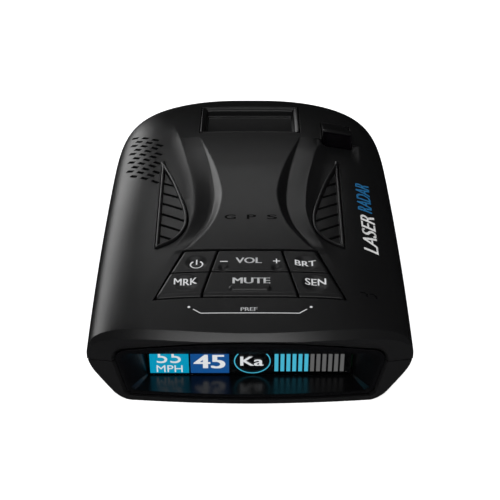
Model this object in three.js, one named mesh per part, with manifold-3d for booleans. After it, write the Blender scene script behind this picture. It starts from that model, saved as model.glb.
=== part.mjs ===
// Windshield radar detector: a moulded two-shell case with a tunnel-set display at the near end (-Y),
// six keys and two louvred inserts on top, a magnetic dock pocket and a laser hood at the far end (+Y).
// Millimetres, +Z up. The origin is under the middle of the case, on the surface it rests on.
import * as THREE from 'three';
import { mergeVertices } from 'three/addons/utils/BufferGeometryUtils.js';
import Module from 'manifold-3d';

const wasm = await Module();
wasm.setup();

// ---------------------------------------------------------------- driving dimensions
const HALF_LENGTH = 67.8;
const HALF_WIDTH = 40.75;          // at the parting line, mid length
const PARTING_Z = 14.5;            // where the top and bottom shells meet
const CROWN_Z = 30.7;              // highest line of the top shell
const CROWN_Y = 8;
const WALL = 2.2;
const GAP = 0.3;                   // clearance between neighbouring pieces
const BROW_Z = 24.5;               // lower edge of the band over the display, on the centre line
const END_LEAN = 0.3;              // the near end leans in towards the base, mm per mm, on the centre line
const END_BOW = 0.004;             // and bows out in plan at the brow, 1/mm
const END_UNBOW = 0.00008;         // the bow lessens towards the base, 1/mm per mm
const PANEL_RISE = 0.7;            // raised waisted panel on the top shell
const KEY_TRAVEL = 0.6;
const KEY_SLOPE = THREE.MathUtils.degToRad(5);
const DOCK = { halfX: 15.1, y0: 29.2, y1: 53.4, depth: 3.1, slope: THREE.MathUtils.degToRad(-9.2) };
const SCREEN = { halfX: 25.8, y: -54.4, z: 8.8, height: 9.4, lean: THREE.MathUtils.degToRad(8) };
const SCREW_POSTS = [[-27.5, -41], [27.5, -41], [-25.5, 45.5], [25.5, 45.5]];
const BOARD_SCREWS = [[-23, -28], [23, -28], [-22, 34], [22, 34]];
const BOARD_Z = 4.6;
const BOARD_THICK = 1.6;

const group = new THREE.Group();

// ---------------------------------------------------------------- materials
const finish = (color, roughness, metalness = 0) =>
  new THREE.MeshStandardMaterial({ color, roughness, metalness });
const shellBlack = finish(0x1c1c1e, 0.55);
const keyBlack = finish(0x19191b, 0.5);
const glossBlack = finish(0x050506, 0.08);
const smokedLens = finish(0x08080c, 0.05);
const rubberGrey = finish(0x3a3a3c, 0.8);
const boardGreen = finish(0x0f3d24, 0.5);
const tinPlate = finish(0xb8babd, 0.35, 1);
const castZinc = finish(0x8f9296, 0.45, 1);
const screwSteel = finish(0x2b2c2e, 0.35, 1);
const nickel = finish(0xc9c6c0, 0.25, 1);
const ceramic = finish(0xcbb994, 0.6);
const paperCone = finish(0x202022, 0.9);
const labelSilver = finish(0xb5b7ba, 0.4);
const screenGlass = finish(0x0d1c26, 0.1);

// ---------------------------------------------------------------- solids
function solid(geometry) {
  const bare = geometry.index ? geometry.toNonIndexed() : geometry.clone();
  bare.deleteAttribute('normal');
  bare.deleteAttribute('uv');
  const merged = mergeVertices(bare, 1e-4);
  return new wasm.Manifold(new wasm.Mesh({
    numProp: 3,
    vertProperties: new Float32Array(merged.attributes.position.array),
    triVerts: new Uint32Array(merged.index.array),
  }));
}

function geometryOf(manifold) {
  const { vertProperties, triVerts, numProp } = manifold.getMesh();
  const positions = new Float32Array((vertProperties.length / numProp) * 3);
  for (let i = 0; i < positions.length / 3; i += 1) {
    positions.set(vertProperties.subarray(i * numProp, i * numProp + 3), i * 3);
  }
  const geometry = new THREE.BufferGeometry();
  geometry.setAttribute('position', new THREE.BufferAttribute(positions, 3));
  geometry.setIndex(new THREE.BufferAttribute(new Uint32Array(triVerts), 1));
  geometry.computeVertexNormals();
  return geometry;
}

function addPart(name, shape, material, parent = group) {
  const mesh = new THREE.Mesh(shape.isBufferGeometry ? shape : geometryOf(shape), material);
  mesh.name = name;
  parent.add(mesh);
  return mesh;
}

const box = (x0, x1, y0, y1, z0, z1) =>
  solid(new THREE.BoxGeometry(x1 - x0, y1 - y0, z1 - z0)
    .translate((x0 + x1) / 2, (y0 + y1) / 2, (z0 + z1) / 2));

// A round bar along Z.
const bar = (x, y, radius, z0, z1, sides = 16) =>
  solid(new THREE.CylinderGeometry(radius, radius, z1 - z0, sides)
    .rotateX(Math.PI / 2).translate(x, y, (z0 + z1) / 2));

const ball = (x, y, z, radius) =>
  solid(new THREE.SphereGeometry(radius, 14, 10).translate(x, y, z));

// An outline in plan, extruded along Z.
function prism(outline, z0, z1) {
  const shape = new THREE.Shape(outline.map(([x, y]) => new THREE.Vector2(x, y)));
  return solid(new THREE.ExtrudeGeometry(shape, { depth: z1 - z0, bevelEnabled: false, steps: 1 })
    .translate(0, 0, z0));
}

// A closed solid through a row of rings of equal count, each star-shaped about its own middle.
function loft(rings) {
  const count = rings[0].length;
  const points = rings.flat();
  const middle = (ring) => [0, 1, 2].map((k) => ring.reduce((sum, p) => sum + p[k], 0) / count);
  points.push(middle(rings[0]), middle(rings[rings.length - 1]));
  const first = points.length - 2;
  const last = points.length - 1;
  const index = [];
  for (let r = 0; r < rings.length - 1; r += 1) {
    for (let i = 0; i < count; i += 1) {
      const a = r * count + i;
      const b = r * count + ((i + 1) % count);
      index.push(a, b, b + count, a, b + count, a + count);
    }
  }
  const end = (rings.length - 1) * count;
  for (let i = 0; i < count; i += 1) {
    const j = (i + 1) % count;
    index.push(first, j, i, last, end + i, end + j);
  }
  const build = (order) => {
    const geometry = new THREE.BufferGeometry();
    geometry.setAttribute('position', new THREE.Float32BufferAttribute(points.flat(), 3));
    geometry.setIndex(order);
    return solid(geometry);
  };
  const made = build(index);
  if (made.volume() > 0) return made;
  const flipped = [];
  for (let i = 0; i < index.length; i += 3) flipped.push(index[i], index[i + 2], index[i + 1]);
  return build(flipped);
}

// ---------------------------------------------------------------- outer form of the case
const TOP_POWER = 3.15;            // squareness of the section above the parting line
const SIDE_TAPER = 0.19;           // share of the half width lost between the waist line and the base
const WAIST_Z = 12.8;              // below this line the sides lean inwards
const BASE_CORNER = 3.2;           // radius between the leaning side and the base

function halfWidth(y) {
  const straight = HALF_WIDTH - 0.0115 * y;
  if (y <= 0) return straight - 0.00025 * y * y;
  return straight * (1 - Math.min(1, y / HALF_LENGTH) ** 5.2) ** (1 / 2.8);
}

function crownZ(y) {
  const near = Math.max(0, (CROWN_Y - y) / 73.8);
  const far = Math.max(0, (y - CROWN_Y) / 59.8);
  return CROWN_Z - 4.3 * near ** 1.6 - 8.9 * far ** 2.7;
}

const noseFactor = (y) => (y <= 0 ? 1 : (1 - Math.min(1, y / HALF_LENGTH) ** 80) ** (1 / 3));

function topZ(x, y) {
  const across = Math.min(1, Math.abs(x) / halfWidth(y));
  const height = (crownZ(y) - PARTING_Z) * noseFactor(y);
  return PARTING_Z + height * (1 - across ** TOP_POWER) ** (1 / TOP_POWER);
}

function baseDepth(y) {
  const lift = Math.max(0, (y - 40) / 27.8);
  return (PARTING_Z - 5.5 * lift ** 3) * noseFactor(y);
}

const sideLean = (z) => 1 - SIDE_TAPER * Math.max(0, (WAIST_Z - z) / WAIST_Z);

// Half of the section below the parting line, from the side round the corner to the middle of the base.
function baseHalf(width, depth) {
  const radius = Math.min(BASE_CORNER, width * 0.5, depth * 0.4);
  const points = [0.1, 0.35, 0.7].map((share) => [width, -share * (depth - radius)]);
  for (let i = 0; i <= 3; i += 1) {
    const a = (i / 3) * (Math.PI / 2);
    points.push([width - radius + radius * Math.cos(a), -(depth - radius) - radius * Math.sin(a)]);
  }
  points.push([(width - radius) / 2, -depth]);
  return points.map(([x, z]) => [x * sideLean(PARTING_Z + z), z]);
}

const TOP_SIDES = 20;
const STATIONS = [-70, -64, -56, -47, -38, -28, -18, -8, 2, 12, 22, 31, 39, 46, 52, 57, 61, 64, 66, 67,
  67.5];

// The case skin moved inwards by inset (outwards when negative).
function caseForm(inset) {
  const shrink = (HALF_LENGTH - inset) / HALF_LENGTH;
  const rings = STATIONS.map((y) => {
    const width = Math.max(0.5, halfWidth(y) - inset);
    const up = Math.max(0.5, (crownZ(y) - PARTING_Z) * noseFactor(y) - inset);
    const down = Math.max(0.5, baseDepth(y) - inset);
    const ring = [];
    for (let i = 0; i <= TOP_SIDES; i += 1) {
      const angle = (i / TOP_SIDES) * Math.PI;
      const c = Math.cos(angle);
      const x = Math.sign(c) * width * Math.abs(c) ** (2 / TOP_POWER);
      ring.push([x, up * Math.sin(angle) ** (2 / TOP_POWER)]);
    }
    const base = baseHalf(width, down);
    ring.push(...base.map(([x, z]) => [-x, z]), [0, -down], ...base.reverse());
    return ring.map(([x, z]) => [x, y > 0 ? y * shrink : y, PARTING_Z + z]);
  });
  return loft(rings);
}

// What is cut away at the near end: the brow band, then a face leaning in towards the base.
function endCutter(shift) {
  const rings = [];
  for (let x = -48; x <= 48; x += 6) {
    const bow = -HALF_LENGTH + END_BOW * x * x + shift;
    const drop = topZ(0, -64) - topZ(Math.min(39, Math.abs(x)), -64);
    const brow = BROW_Z - 0.8 * drop;
    rings.push([
      [x, -95, 60],
      [x, bow + (60 - brow) * 0.94, 60],
      [x, bow, brow],
      [x, bow + (brow + 8) * (END_LEAN - END_UNBOW * x * x), -8],
      [x, -95, -8],
    ]);
  }
  return loft(rings);
}

const outerForm = caseForm(0).subtract(endCutter(0));
const innerForm = caseForm(WALL).subtract(endCutter(WALL));
const shell = outerForm.subtract(innerForm);

// ---------------------------------------------------------------- display tunnel
// Inside of the flared tunnel at a station, grown by wall; low corners are chamfered, high ones rounded.
const TUNNEL = [
  { y: -69, floor: 2.3, roof: 25, low: 38.1, high: 38.2, round: 6, chamfer: 1.5 },
  { y: -62, floor: 2.9, roof: 17.05, low: 32.3, high: 33.2, round: 4, chamfer: 1.5 },
  { y: -52.9, floor: 3.7, roof: 13.9, low: 26.2, high: 26.4, round: 1.2, chamfer: 0.3 },
];

function tunnel(wall) {
  return loft(TUNNEL.map(({ y, floor, roof, low, high, round, chamfer }) => {
    const ring = [];
    const bottom = floor - wall;
    const top = roof + wall;
    ring.push([-low - wall + chamfer, bottom], [low + wall - chamfer, bottom]);
    ring.push([low + wall, bottom + chamfer]);
    for (let i = 0; i <= 4; i += 1) {
      const a = (i / 4) * (Math.PI / 2);
      ring.push([high + wall - round + round * Math.cos(a), top - round + round * Math.sin(a)]);
    }
    for (let i = 0; i <= 4; i += 1) {
      const a = Math.PI / 2 + (i / 4) * (Math.PI / 2);
      ring.push([-high - wall + round + round * Math.cos(a), top - round + round * Math.sin(a)]);
    }
    ring.push([-low - wall, bottom + chamfer]);
    return ring.map(([x, z]) => [x, y, z]);
  }));
}

const BEZEL_WALL = 1.2;
const BEZEL_SETBACK = 0.5;         // the rim lies this far behind the face of the case
const bezel = tunnel(BEZEL_WALL).subtract(tunnel(0)).subtract(endCutter(BEZEL_SETBACK));
const bezelRoom = tunnel(BEZEL_WALL + GAP);

// ---------------------------------------------------------------- outlines on the top shell
// Half outline of the waisted panel, from the dock end to the keys.
const PANEL_HALF = [[14.6, 26.2], [12.5, 17.8], [10.1, 8.4], [8.4, 0], [7.6, -7.5], [8, -12.8],
  [9.4, -20.1], [11.4, -25.2], [13.5, -29], [15.2, -31.8], [17, -33.7]];
const bothSides = (half) => [...half, ...half.map(([x, y]) => [-x, y]).reverse()];

const KEYS = {
  farY: -33.9, nearY: -52.3, farX: 17.1, nearX: 23.7, splitFar: 8.3, splitNear: 12.1, rowY: -42.6,
};
const KEY_SLOT = 0.5;              // visible gap round each key cap
const keyEdge = (farX, nearX, y) => farX + ((nearX - farX) * (KEYS.farY - y)) / (KEYS.farY - KEYS.nearY);

const VENT_EDGE = [[-25.1, 12.6], [-21.8, 3.2], [-19.7, -4.1], [-18.3, -9.8], [-17.3, -14.2], [-16.8, -18.4],
  [-17, -22.4], [-17.9, -25.3], [-19.5, -27.9], [-22, -29.7], [-24.7, -31]];
const VENT_MIDDLE = [-21.5, -15];

// D-shaped louvre outline on the -X side, from the far tip round the bowed inner edge to the near
// corner; the straight outer edge closes it. It is grown outwards from a point inside.
function ventOutline(grow) {
  const curve = new THREE.CatmullRomCurve3(VENT_EDGE.map(([x, y]) => new THREE.Vector3(x, y, 0)),
    false, 'centripetal');
  return curve.getPoints(20).map(({ x, y }) => {
    const dx = x - VENT_MIDDLE[0];
    const dy = y - VENT_MIDDLE[1];
    const reach = Math.hypot(dx, dy);
    return [x + (dx / reach) * grow, y + (dy / reach) * grow];
  });
}

const mirrorX = (outline) => outline.map(([x, y]) => [-x, y]).reverse();

// ---------------------------------------------------------------- top shell
const SLOTS = {
  rows: 10, dashes: 3, rowPitch: 2.72, stepX: 3.25, stepY: -2.9, farX: -34.6, farY: 34, shift: 1.4,
  long: 2.6, wide: 0.95,
};

// Rows of three dashes over the speaker, every second row shifted inwards.
function speakerSlots() {
  const turn = Math.atan2(SLOTS.stepY, SLOTS.stepX);
  const cutters = [];
  for (let row = 0; row < SLOTS.rows; row += 1) {
    for (let dash = 0; dash < SLOTS.dashes; dash += 1) {
      const shift = row % 2 ? SLOTS.shift : 0;
      const x = SLOTS.farX + shift + dash * SLOTS.stepX;
      const y = SLOTS.farY - row * SLOTS.rowPitch + (shift / SLOTS.stepX + dash) * SLOTS.stepY;
      cutters.push(solid(new THREE.BoxGeometry(SLOTS.long, SLOTS.wide, 16).rotateZ(turn)
        .translate(x, y, 26)));
    }
  }
  return cutters;
}

const dockMatrix = new THREE.Matrix4()
  .makeTranslation(0, (DOCK.y0 + DOCK.y1) / 2, (topZ(0, DOCK.y0) + topZ(0, DOCK.y1)) / 2)
  .multiply(new THREE.Matrix4().makeRotationX(DOCK.slope));
const inDock = (x0, x1, y0, y1, z0, z1) =>
  solid(new THREE.BoxGeometry(x1 - x0, y1 - y0, z1 - z0)
    .translate((x0 + x1) / 2, (y0 + y1) / 2, (z0 + z1) / 2).applyMatrix4(dockMatrix));
const DOCK_HALF_Y = (DOCK.y1 - DOCK.y0) / 2;

// The hood stands rise above the case top at its inner side and drops by fall to its outer side,
// whose far end is shorter by trim; a window plate reaches windowY in front of it.
const HOOD = { x0: 21.5, x1: 29.9, y0: 25.8, y1: 38.5, rise: 2.9, fall: 1.5, trim: 2.5, windowY: 1.2 };
const WINDOW_FAR = { halfX: 11, y0: 58, y1: 72, z0: 17, z1: 21.6, thick: 1.6 };
const POST = { topRadius: 3, baseRadius: 3.2, pilot: 1.15, pilotTop: 21.5, clearHole: 1.5 };
const SCREW_WELL = { radius: 2.9, top: 4.4 };

let topShell = shell.intersect(box(-60, 60, -90, 90, PARTING_Z, 60));
topShell = topShell.add(caseForm(-PANEL_RISE).subtract(caseForm(WALL))
  .intersect(prism(bothSides(PANEL_HALF), 20, 40)));
for (const [x, y] of SCREW_POSTS) {
  const post = bar(x, y, POST.topRadius, PARTING_Z + 1.2, 40);
  topShell = topShell.add(post.intersect(caseForm(WALL / 2)));
  topShell = topShell.subtract(bar(x, y, POST.pilot, PARTING_Z, POST.pilotTop, 12));
}
const keyWindow = prism(bothSides([
  [KEYS.farX + KEY_SLOT, KEYS.farY + KEY_SLOT], [KEYS.nearX + KEY_SLOT, KEYS.nearY - KEY_SLOT],
]), 18, 40);
topShell = topShell.subtract(keyWindow).subtract(bezelRoom);
topShell = topShell.subtract(inDock(-DOCK.halfX, DOCK.halfX, -DOCK_HALF_Y, DOCK_HALF_Y, -10, 10));
topShell = topShell.subtract(prism(ventOutline(GAP), 20, 40));
topShell = topShell.subtract(prism(mirrorX(ventOutline(GAP)), 20, 40));
topShell = topShell.subtract(box(HOOD.x0 - GAP, HOOD.x1 + GAP, HOOD.y0 - HOOD.windowY - GAP,
  HOOD.y1 + GAP, 20, 40));
topShell = topShell.subtract(box(-WINDOW_FAR.halfX - GAP, WINDOW_FAR.halfX + GAP, WINDOW_FAR.y0,
  WINDOW_FAR.y1, WINDOW_FAR.z0 - GAP, WINDOW_FAR.z1 + GAP));
for (const slot of speakerSlots()) topShell = topShell.subtract(slot);
addPart('top_cover', topShell, shellBlack);

// ---------------------------------------------------------------- bottom shell
// Each jack lies setback behind the side of the case, its body deep, its socket hole blind behind walls.
const POWER_JACK = { y0: 11.5, y1: 23.5, z0: 5, z1: 13.2, setback: 0.6, deep: 12, hole: 9.5, wall: 1.2 };
const USB_JACK = { y0: -4, y1: 5, z0: 6.2, z1: 10.2, setback: 0.7, deep: 6, hole: 5, wall: 0.5 };
const EAR_JACK = { y: -13, z: 8.4, radius: 3.1, setback: 0.6, deep: 11, hole: 9, holeRadius: 1.8 };
const JACK_CUT = { x0: 25, x1: 60 };
const LABEL = { halfX: 17, y0: -34, y1: -8, deep: 0.6, thick: 0.25 };

let bottomShell = shell.intersect(box(-60, 60, -90, 90, 0, PARTING_Z - GAP));
for (const [x, y] of SCREW_POSTS) {
  const post = bar(x, y, POST.baseRadius, 0.5, PARTING_Z - GAP);
  bottomShell = bottomShell.add(post.intersect(caseForm(0.6)));
  bottomShell = bottomShell.subtract(bar(x, y, SCREW_WELL.radius, -2, SCREW_WELL.top))
    .subtract(bar(x, y, POST.clearHole, 0, 20, 12));
}
for (const [x, y] of BOARD_SCREWS) {
  bottomShell = bottomShell.add(bar(x, y, 2, 1, BOARD_Z - GAP, 12));
}
bottomShell = bottomShell.subtract(bezelRoom);
for (const { y0, y1, z0, z1 } of [POWER_JACK, USB_JACK]) {
  bottomShell = bottomShell.subtract(
    box(JACK_CUT.x0, JACK_CUT.x1, y0 - GAP, y1 + GAP, z0 - GAP, z1 + GAP));
}
bottomShell = bottomShell.subtract(solid(new THREE.CylinderGeometry(EAR_JACK.radius + GAP,
  EAR_JACK.radius + GAP, 30, 16).rotateZ(Math.PI / 2).translate(40, EAR_JACK.y, EAR_JACK.z)));
bottomShell = bottomShell.subtract(box(-LABEL.halfX - GAP, LABEL.halfX + GAP, LABEL.y0 - GAP,
  LABEL.y1 + GAP, -1, LABEL.deep));
addPart('bottom_cover', bottomShell, shellBlack);
addPart('rating_label', box(-LABEL.halfX, LABEL.halfX, LABEL.y0, LABEL.y1, LABEL.deep - GAP - LABEL.thick,
  LABEL.deep - GAP), labelSilver);

// ---------------------------------------------------------------- display
addPart('display_bezel', bezel, glossBlack);
const leaned = (x0, x1, y0, y1, z0, z1) =>
  solid(new THREE.BoxGeometry(x1 - x0, y1 - y0, z1 - z0)
    .translate((x0 + x1) / 2, (y0 + y1) / 2, (z0 + z1) / 2)
    .rotateX(SCREEN.lean).translate(0, SCREEN.y, SCREEN.z));
const HALF_SCREEN = SCREEN.height / 2;
const WINDOW_THICK = 0.8;
const PANEL = { near: 0.7, far: 1.7, footLift: 0.2 };
const DISPLAY_BOARD = { halfX: 27, y0: -51.4, y1: -50.2, z0: 4.6, z1: 16.5 };
addPart('display_window', leaned(-SCREEN.halfX, SCREEN.halfX, -WINDOW_THICK / 2, WINDOW_THICK / 2,
  -HALF_SCREEN, HALF_SCREEN), smokedLens);
addPart('display_panel', leaned(-SCREEN.halfX, SCREEN.halfX, PANEL.near, PANEL.far,
  -HALF_SCREEN + PANEL.footLift, HALF_SCREEN), screenGlass);
addPart('display_board', box(-DISPLAY_BOARD.halfX, DISPLAY_BOARD.halfX, DISPLAY_BOARD.y0,
  DISPLAY_BOARD.y1, DISPLAY_BOARD.z0, DISPLAY_BOARD.z1), boardGreen);

// ---------------------------------------------------------------- key caps
const CAP_PROUD = 0.25;
const CAP_DEEP = 3.2;
const capSlab = caseForm(-CAP_PROUD).subtract(caseForm(CAP_DEEP));
const KEY_FRAME = { y: -43, z: 28.3 };
const keyFrame = new THREE.Matrix4().makeTranslation(0, KEY_FRAME.y, KEY_FRAME.z)
  .multiply(new THREE.Matrix4().makeRotationX(KEY_SLOPE));
const inKeys = (geometry) => solid(geometry.applyMatrix4(keyFrame));
const keyBar = (x, y, radius, z0, z1, sides = 12) =>
  inKeys(new THREE.CylinderGeometry(radius, radius, z1 - z0, sides).rotateX(Math.PI / 2)
    .translate(x, y, (z0 + z1) / 2));

// Four-cornered cap outline between two column lines and two rows.
function capOutline(left, right, yFar, yNear) {
  const half = KEY_SLOT / 2;
  const at = (column, y) => keyEdge(column[0], column[1], y);
  return [
    [at(left, yFar) + half, yFar - half], [at(left, yNear) + half, yNear + half],
    [at(right, yNear) - half, yNear + half], [at(right, yFar) - half, yFar - half],
  ];
}

const HALF_SLOT = KEY_SLOT / 2;
const COLUMN = {
  outLeft: [-KEYS.farX - HALF_SLOT, -KEYS.nearX - HALF_SLOT],
  inLeft: [-KEYS.splitFar, -KEYS.splitNear],
  inRight: [KEYS.splitFar, KEYS.splitNear],
  outRight: [KEYS.farX + HALF_SLOT, KEYS.nearX + HALF_SLOT],
};
const FAR_ROW = [KEYS.farY + HALF_SLOT, KEYS.rowY];
const NEAR_ROW = [KEYS.rowY, KEYS.nearY - HALF_SLOT];
const STEM_RADIUS = 1.5;
const STEM_LOW = -4.6;             // lower end of a cap's stem, below the key frame's origin

const CAPS = [
  { name: 'button_power', left: 'outLeft', right: 'inLeft', row: FAR_ROW, stems: [-13.6],
    dishes: [[-13.8, -38.8, 2.8]] },
  { name: 'button_mark', left: 'outLeft', right: 'inLeft', row: NEAR_ROW, stems: [-16],
    dishes: [[-16.2, -46.9, 3.1]] },
  { name: 'volume_rocker', left: 'inLeft', right: 'inRight', row: FAR_ROW, stems: [-6.2, 6.2],
    dishes: [[-6.8, -41.1, 1.3], [6.8, -41.1, 1.3]] },
  { name: 'button_mute', left: 'inLeft', right: 'inRight', row: NEAR_ROW, stems: [0], dishes: [] },
  { name: 'button_brightness', left: 'inRight', right: 'outRight', row: FAR_ROW, stems: [13.6],
    dishes: [[14.2, -38.8, 2.8]] },
  { name: 'button_sensitivity', left: 'inRight', right: 'outRight', row: NEAR_ROW, stems: [16],
    dishes: [[16.3, -47, 3.1]] },
];
const DISH_BALL = 9;               // radius of the ball that presses a finger dish
const stemY = (row) => (row[0] + row[1]) / 2 - KEY_FRAME.y;

for (const { name, left, right, row, stems, dishes } of CAPS) {
  let cap = capSlab.intersect(prism(capOutline(COLUMN[left], COLUMN[right], row[0], row[1]), 18, 40));
  for (const x of stems) cap = cap.add(keyBar(x, stemY(row), STEM_RADIUS, STEM_LOW, -STEM_RADIUS));
  for (const [x, y, radius] of dishes) {
    const rise = Math.sqrt(DISH_BALL ** 2 - radius ** 2);
    cap = cap.subtract(ball(x, y, topZ(x, y) + CAP_PROUD + rise, DISH_BALL));
  }
  addPart(name, cap, keyBlack);
}

// Silicone mat with one dome under each stem, on the key board.
const MAT = { x: 44, y: 17.4, thick: 0.8, domeHigh: 1.4, domeTop: 1.7, domeFoot: 2.6 };
const KEY_BOARD = { x: 47, y: 38, thick: 1.2, middleY: 9.3 };
const ANTENNA = { side: 17, thick: 4, middleY: 19 };
const DOME_TOP = STEM_LOW - KEY_TRAVEL - GAP / 2;
let mat = inKeys(new THREE.BoxGeometry(MAT.x, MAT.y, MAT.thick).translate(0, 0, DOME_TOP - MAT.domeHigh));
for (const { row, stems } of CAPS) {
  for (const x of stems) {
    mat = mat.add(inKeys(new THREE.CylinderGeometry(MAT.domeTop, MAT.domeFoot, MAT.domeHigh, 14)
      .rotateX(Math.PI / 2).translate(x, stemY(row), DOME_TOP - MAT.domeHigh / 2)));
  }
}
addPart('key_mat', mat, rubberGrey);
const BOARD_TOP = DOME_TOP - MAT.domeHigh - MAT.thick / 2 - GAP;
addPart('key_board', inKeys(new THREE.BoxGeometry(KEY_BOARD.x, KEY_BOARD.y, KEY_BOARD.thick)
  .translate(0, KEY_BOARD.middleY, BOARD_TOP - KEY_BOARD.thick / 2)), boardGreen);
addPart('gps_antenna', inKeys(new THREE.BoxGeometry(ANTENNA.side, ANTENNA.side, ANTENNA.thick)
  .translate(0, ANTENNA.middleY, BOARD_TOP + GAP + ANTENNA.thick / 2)), ceramic);

// ---------------------------------------------------------------- louvred inserts
const LOUVRE = {
  lip: 0.45, sunk: 0.7, thick: 2.1, rim: 0.9,
  slots: 6, slot: 0.85, pitch: 5.14, farY: 0.9, outerX: 23.9, turn: -0.595,
};

function louvre(side) {
  const outline = side < 0 ? ventOutline(0) : mirrorX(ventOutline(0));
  const inner = side < 0 ? ventOutline(-LOUVRE.rim) : mirrorX(ventOutline(-LOUVRE.rim));
  const rim = caseForm(-LOUVRE.lip).subtract(caseForm(LOUVRE.thick))
    .intersect(prism(outline, 18, 40).subtract(prism(inner, 18, 40)));
  let plate = caseForm(LOUVRE.sunk).subtract(caseForm(LOUVRE.thick)).intersect(prism(outline, 18, 40));
  for (let i = 0; i < LOUVRE.slots; i += 1) {
    const slit = new THREE.BoxGeometry(40, LOUVRE.slot, 30).rotateZ(-side * LOUVRE.turn)
      .translate(side * LOUVRE.outerX, LOUVRE.farY - i * LOUVRE.pitch, 27);
    plate = plate.subtract(solid(slit).intersect(prism(inner, 10, 44)));
  }
  return rim.add(plate);
}
addPart('vent_louvre_left', louvre(-1), shellBlack);
addPart('vent_louvre_right', louvre(1), shellBlack);

// ---------------------------------------------------------------- dock pocket
const dockOuter = [DOCK.halfX - GAP, DOCK_HALF_Y - GAP];
const POCKET_WALL = 1.4;
const MAGNET = { x: 7, half: 5, top: DOCK.depth + 1.7, foot: DOCK.depth + 3.7 };
const dockTray = inDock(-dockOuter[0], dockOuter[0], -dockOuter[1], dockOuter[1],
  -DOCK.depth - POCKET_WALL, 3)
  .subtract(inDock(-dockOuter[0] + POCKET_WALL, dockOuter[0] - POCKET_WALL, -dockOuter[1] + POCKET_WALL,
    dockOuter[1] - POCKET_WALL, -DOCK.depth, 8))
  .intersect(caseForm(0));
addPart('dock_insert', dockTray, shellBlack);
for (const [name, x] of [['dock_magnet_left', -MAGNET.x], ['dock_magnet_right', MAGNET.x]]) {
  addPart(name, inDock(x - MAGNET.half, x + MAGNET.half, -MAGNET.half, MAGNET.half,
    -MAGNET.foot, -MAGNET.top), nickel);
}

// ---------------------------------------------------------------- rear laser hood
const hoodBase = topZ(HOOD.x1, HOOD.y0) - 2.6;
const hoodTop = topZ(HOOD.x0, HOOD.y0) + HOOD.rise;
const hoodRing = (x, top, far) => [
  [x, HOOD.y0, hoodBase], [x, HOOD.y0, top], [x, far, topZ(x, far) + 0.15], [x, far, hoodBase - 1],
];
const hoodBody = loft([
  hoodRing(HOOD.x0, hoodTop, HOOD.y1),
  hoodRing(HOOD.x1, hoodTop - HOOD.fall, HOOD.y1 - HOOD.trim),
]);
const hoodRoom = box(HOOD.x0 + 1.2, HOOD.x1 - 1.2, HOOD.y0 - 1, HOOD.y0 + 2.8, hoodBase + 1, hoodTop - 4);
addPart('rear_laser_hood', hoodBody.subtract(hoodRoom), shellBlack);
const windowRing = (x, top) => [
  [x, HOOD.y0 - HOOD.windowY, hoodBase], [x, HOOD.y0 - HOOD.windowY, top],
  [x, HOOD.y0 - GAP, top], [x, HOOD.y0 - GAP, hoodBase],
];
const windowTop = hoodTop - 0.2;
addPart('rear_laser_window', loft([
  windowRing(HOOD.x0, windowTop), windowRing(HOOD.x1, windowTop - HOOD.fall),
]), glossBlack);
addPart('rear_laser_sensor', box(HOOD.x0 + 2.2, HOOD.x1 - 2.2, HOOD.y0 + 0.1, HOOD.y0 + 2.4, hoodBase + 1.4,
  hoodTop - 4.4), smokedLens);

// ---------------------------------------------------------------- front laser window and sensor
const FAR_SENSOR = { halfX: 3.5, y0: 58.6, y1: 62.2 };
addPart('front_laser_window', caseForm(0).subtract(caseForm(WINDOW_FAR.thick)).intersect(
  box(-WINDOW_FAR.halfX, WINDOW_FAR.halfX, WINDOW_FAR.y0, WINDOW_FAR.y1, WINDOW_FAR.z0,
    WINDOW_FAR.z1)), smokedLens);
addPart('front_laser_sensor', box(-FAR_SENSOR.halfX, FAR_SENSOR.halfX, FAR_SENSOR.y0, FAR_SENSOR.y1,
  WINDOW_FAR.z0 + GAP, WINDOW_FAR.z1 - GAP), glossBlack);

// ---------------------------------------------------------------- speaker
// The frame's rim is rim wide; the cone and the magnet lie coneIn and magnetIn inside its edge.
const SPEAKER = {
  halfX: 6, halfY: 13, frameDeep: 1.6, rim: 1.2, coneIn: 1.9, magnetIn: 1.6, magnetEnd: 4,
  tilt: THREE.MathUtils.degToRad(-20),
};
const speaker = new THREE.Group();
speaker.position.set(-28.8, 17, 23.1);
speaker.rotation.y = SPEAKER.tilt;
group.add(speaker);

function racetrack(halfX, halfY, z0, z1) {
  const outline = [];
  for (let i = 0; i <= 8; i += 1) {
    const a = (i / 8) * Math.PI;
    outline.push([halfX * Math.cos(a), halfY - halfX + halfX * Math.sin(a)]);
  }
  return prism([...outline, ...outline.map(([x, y]) => [-x, -y])], z0, z1);
}
addPart('speaker_frame', racetrack(SPEAKER.halfX, SPEAKER.halfY, -SPEAKER.frameDeep, 0)
  .subtract(racetrack(SPEAKER.halfX - SPEAKER.rim, SPEAKER.halfY - SPEAKER.rim, -3, 1)), tinPlate, speaker);
addPart('speaker_cone', racetrack(SPEAKER.halfX - SPEAKER.coneIn, SPEAKER.halfY - SPEAKER.coneIn,
  -1.3, -0.5), paperCone, speaker);
addPart('speaker_magnet', racetrack(SPEAKER.halfX - SPEAKER.magnetIn, SPEAKER.halfY - SPEAKER.magnetEnd,
  -5.2, -2.1), tinPlate, speaker);

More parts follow.
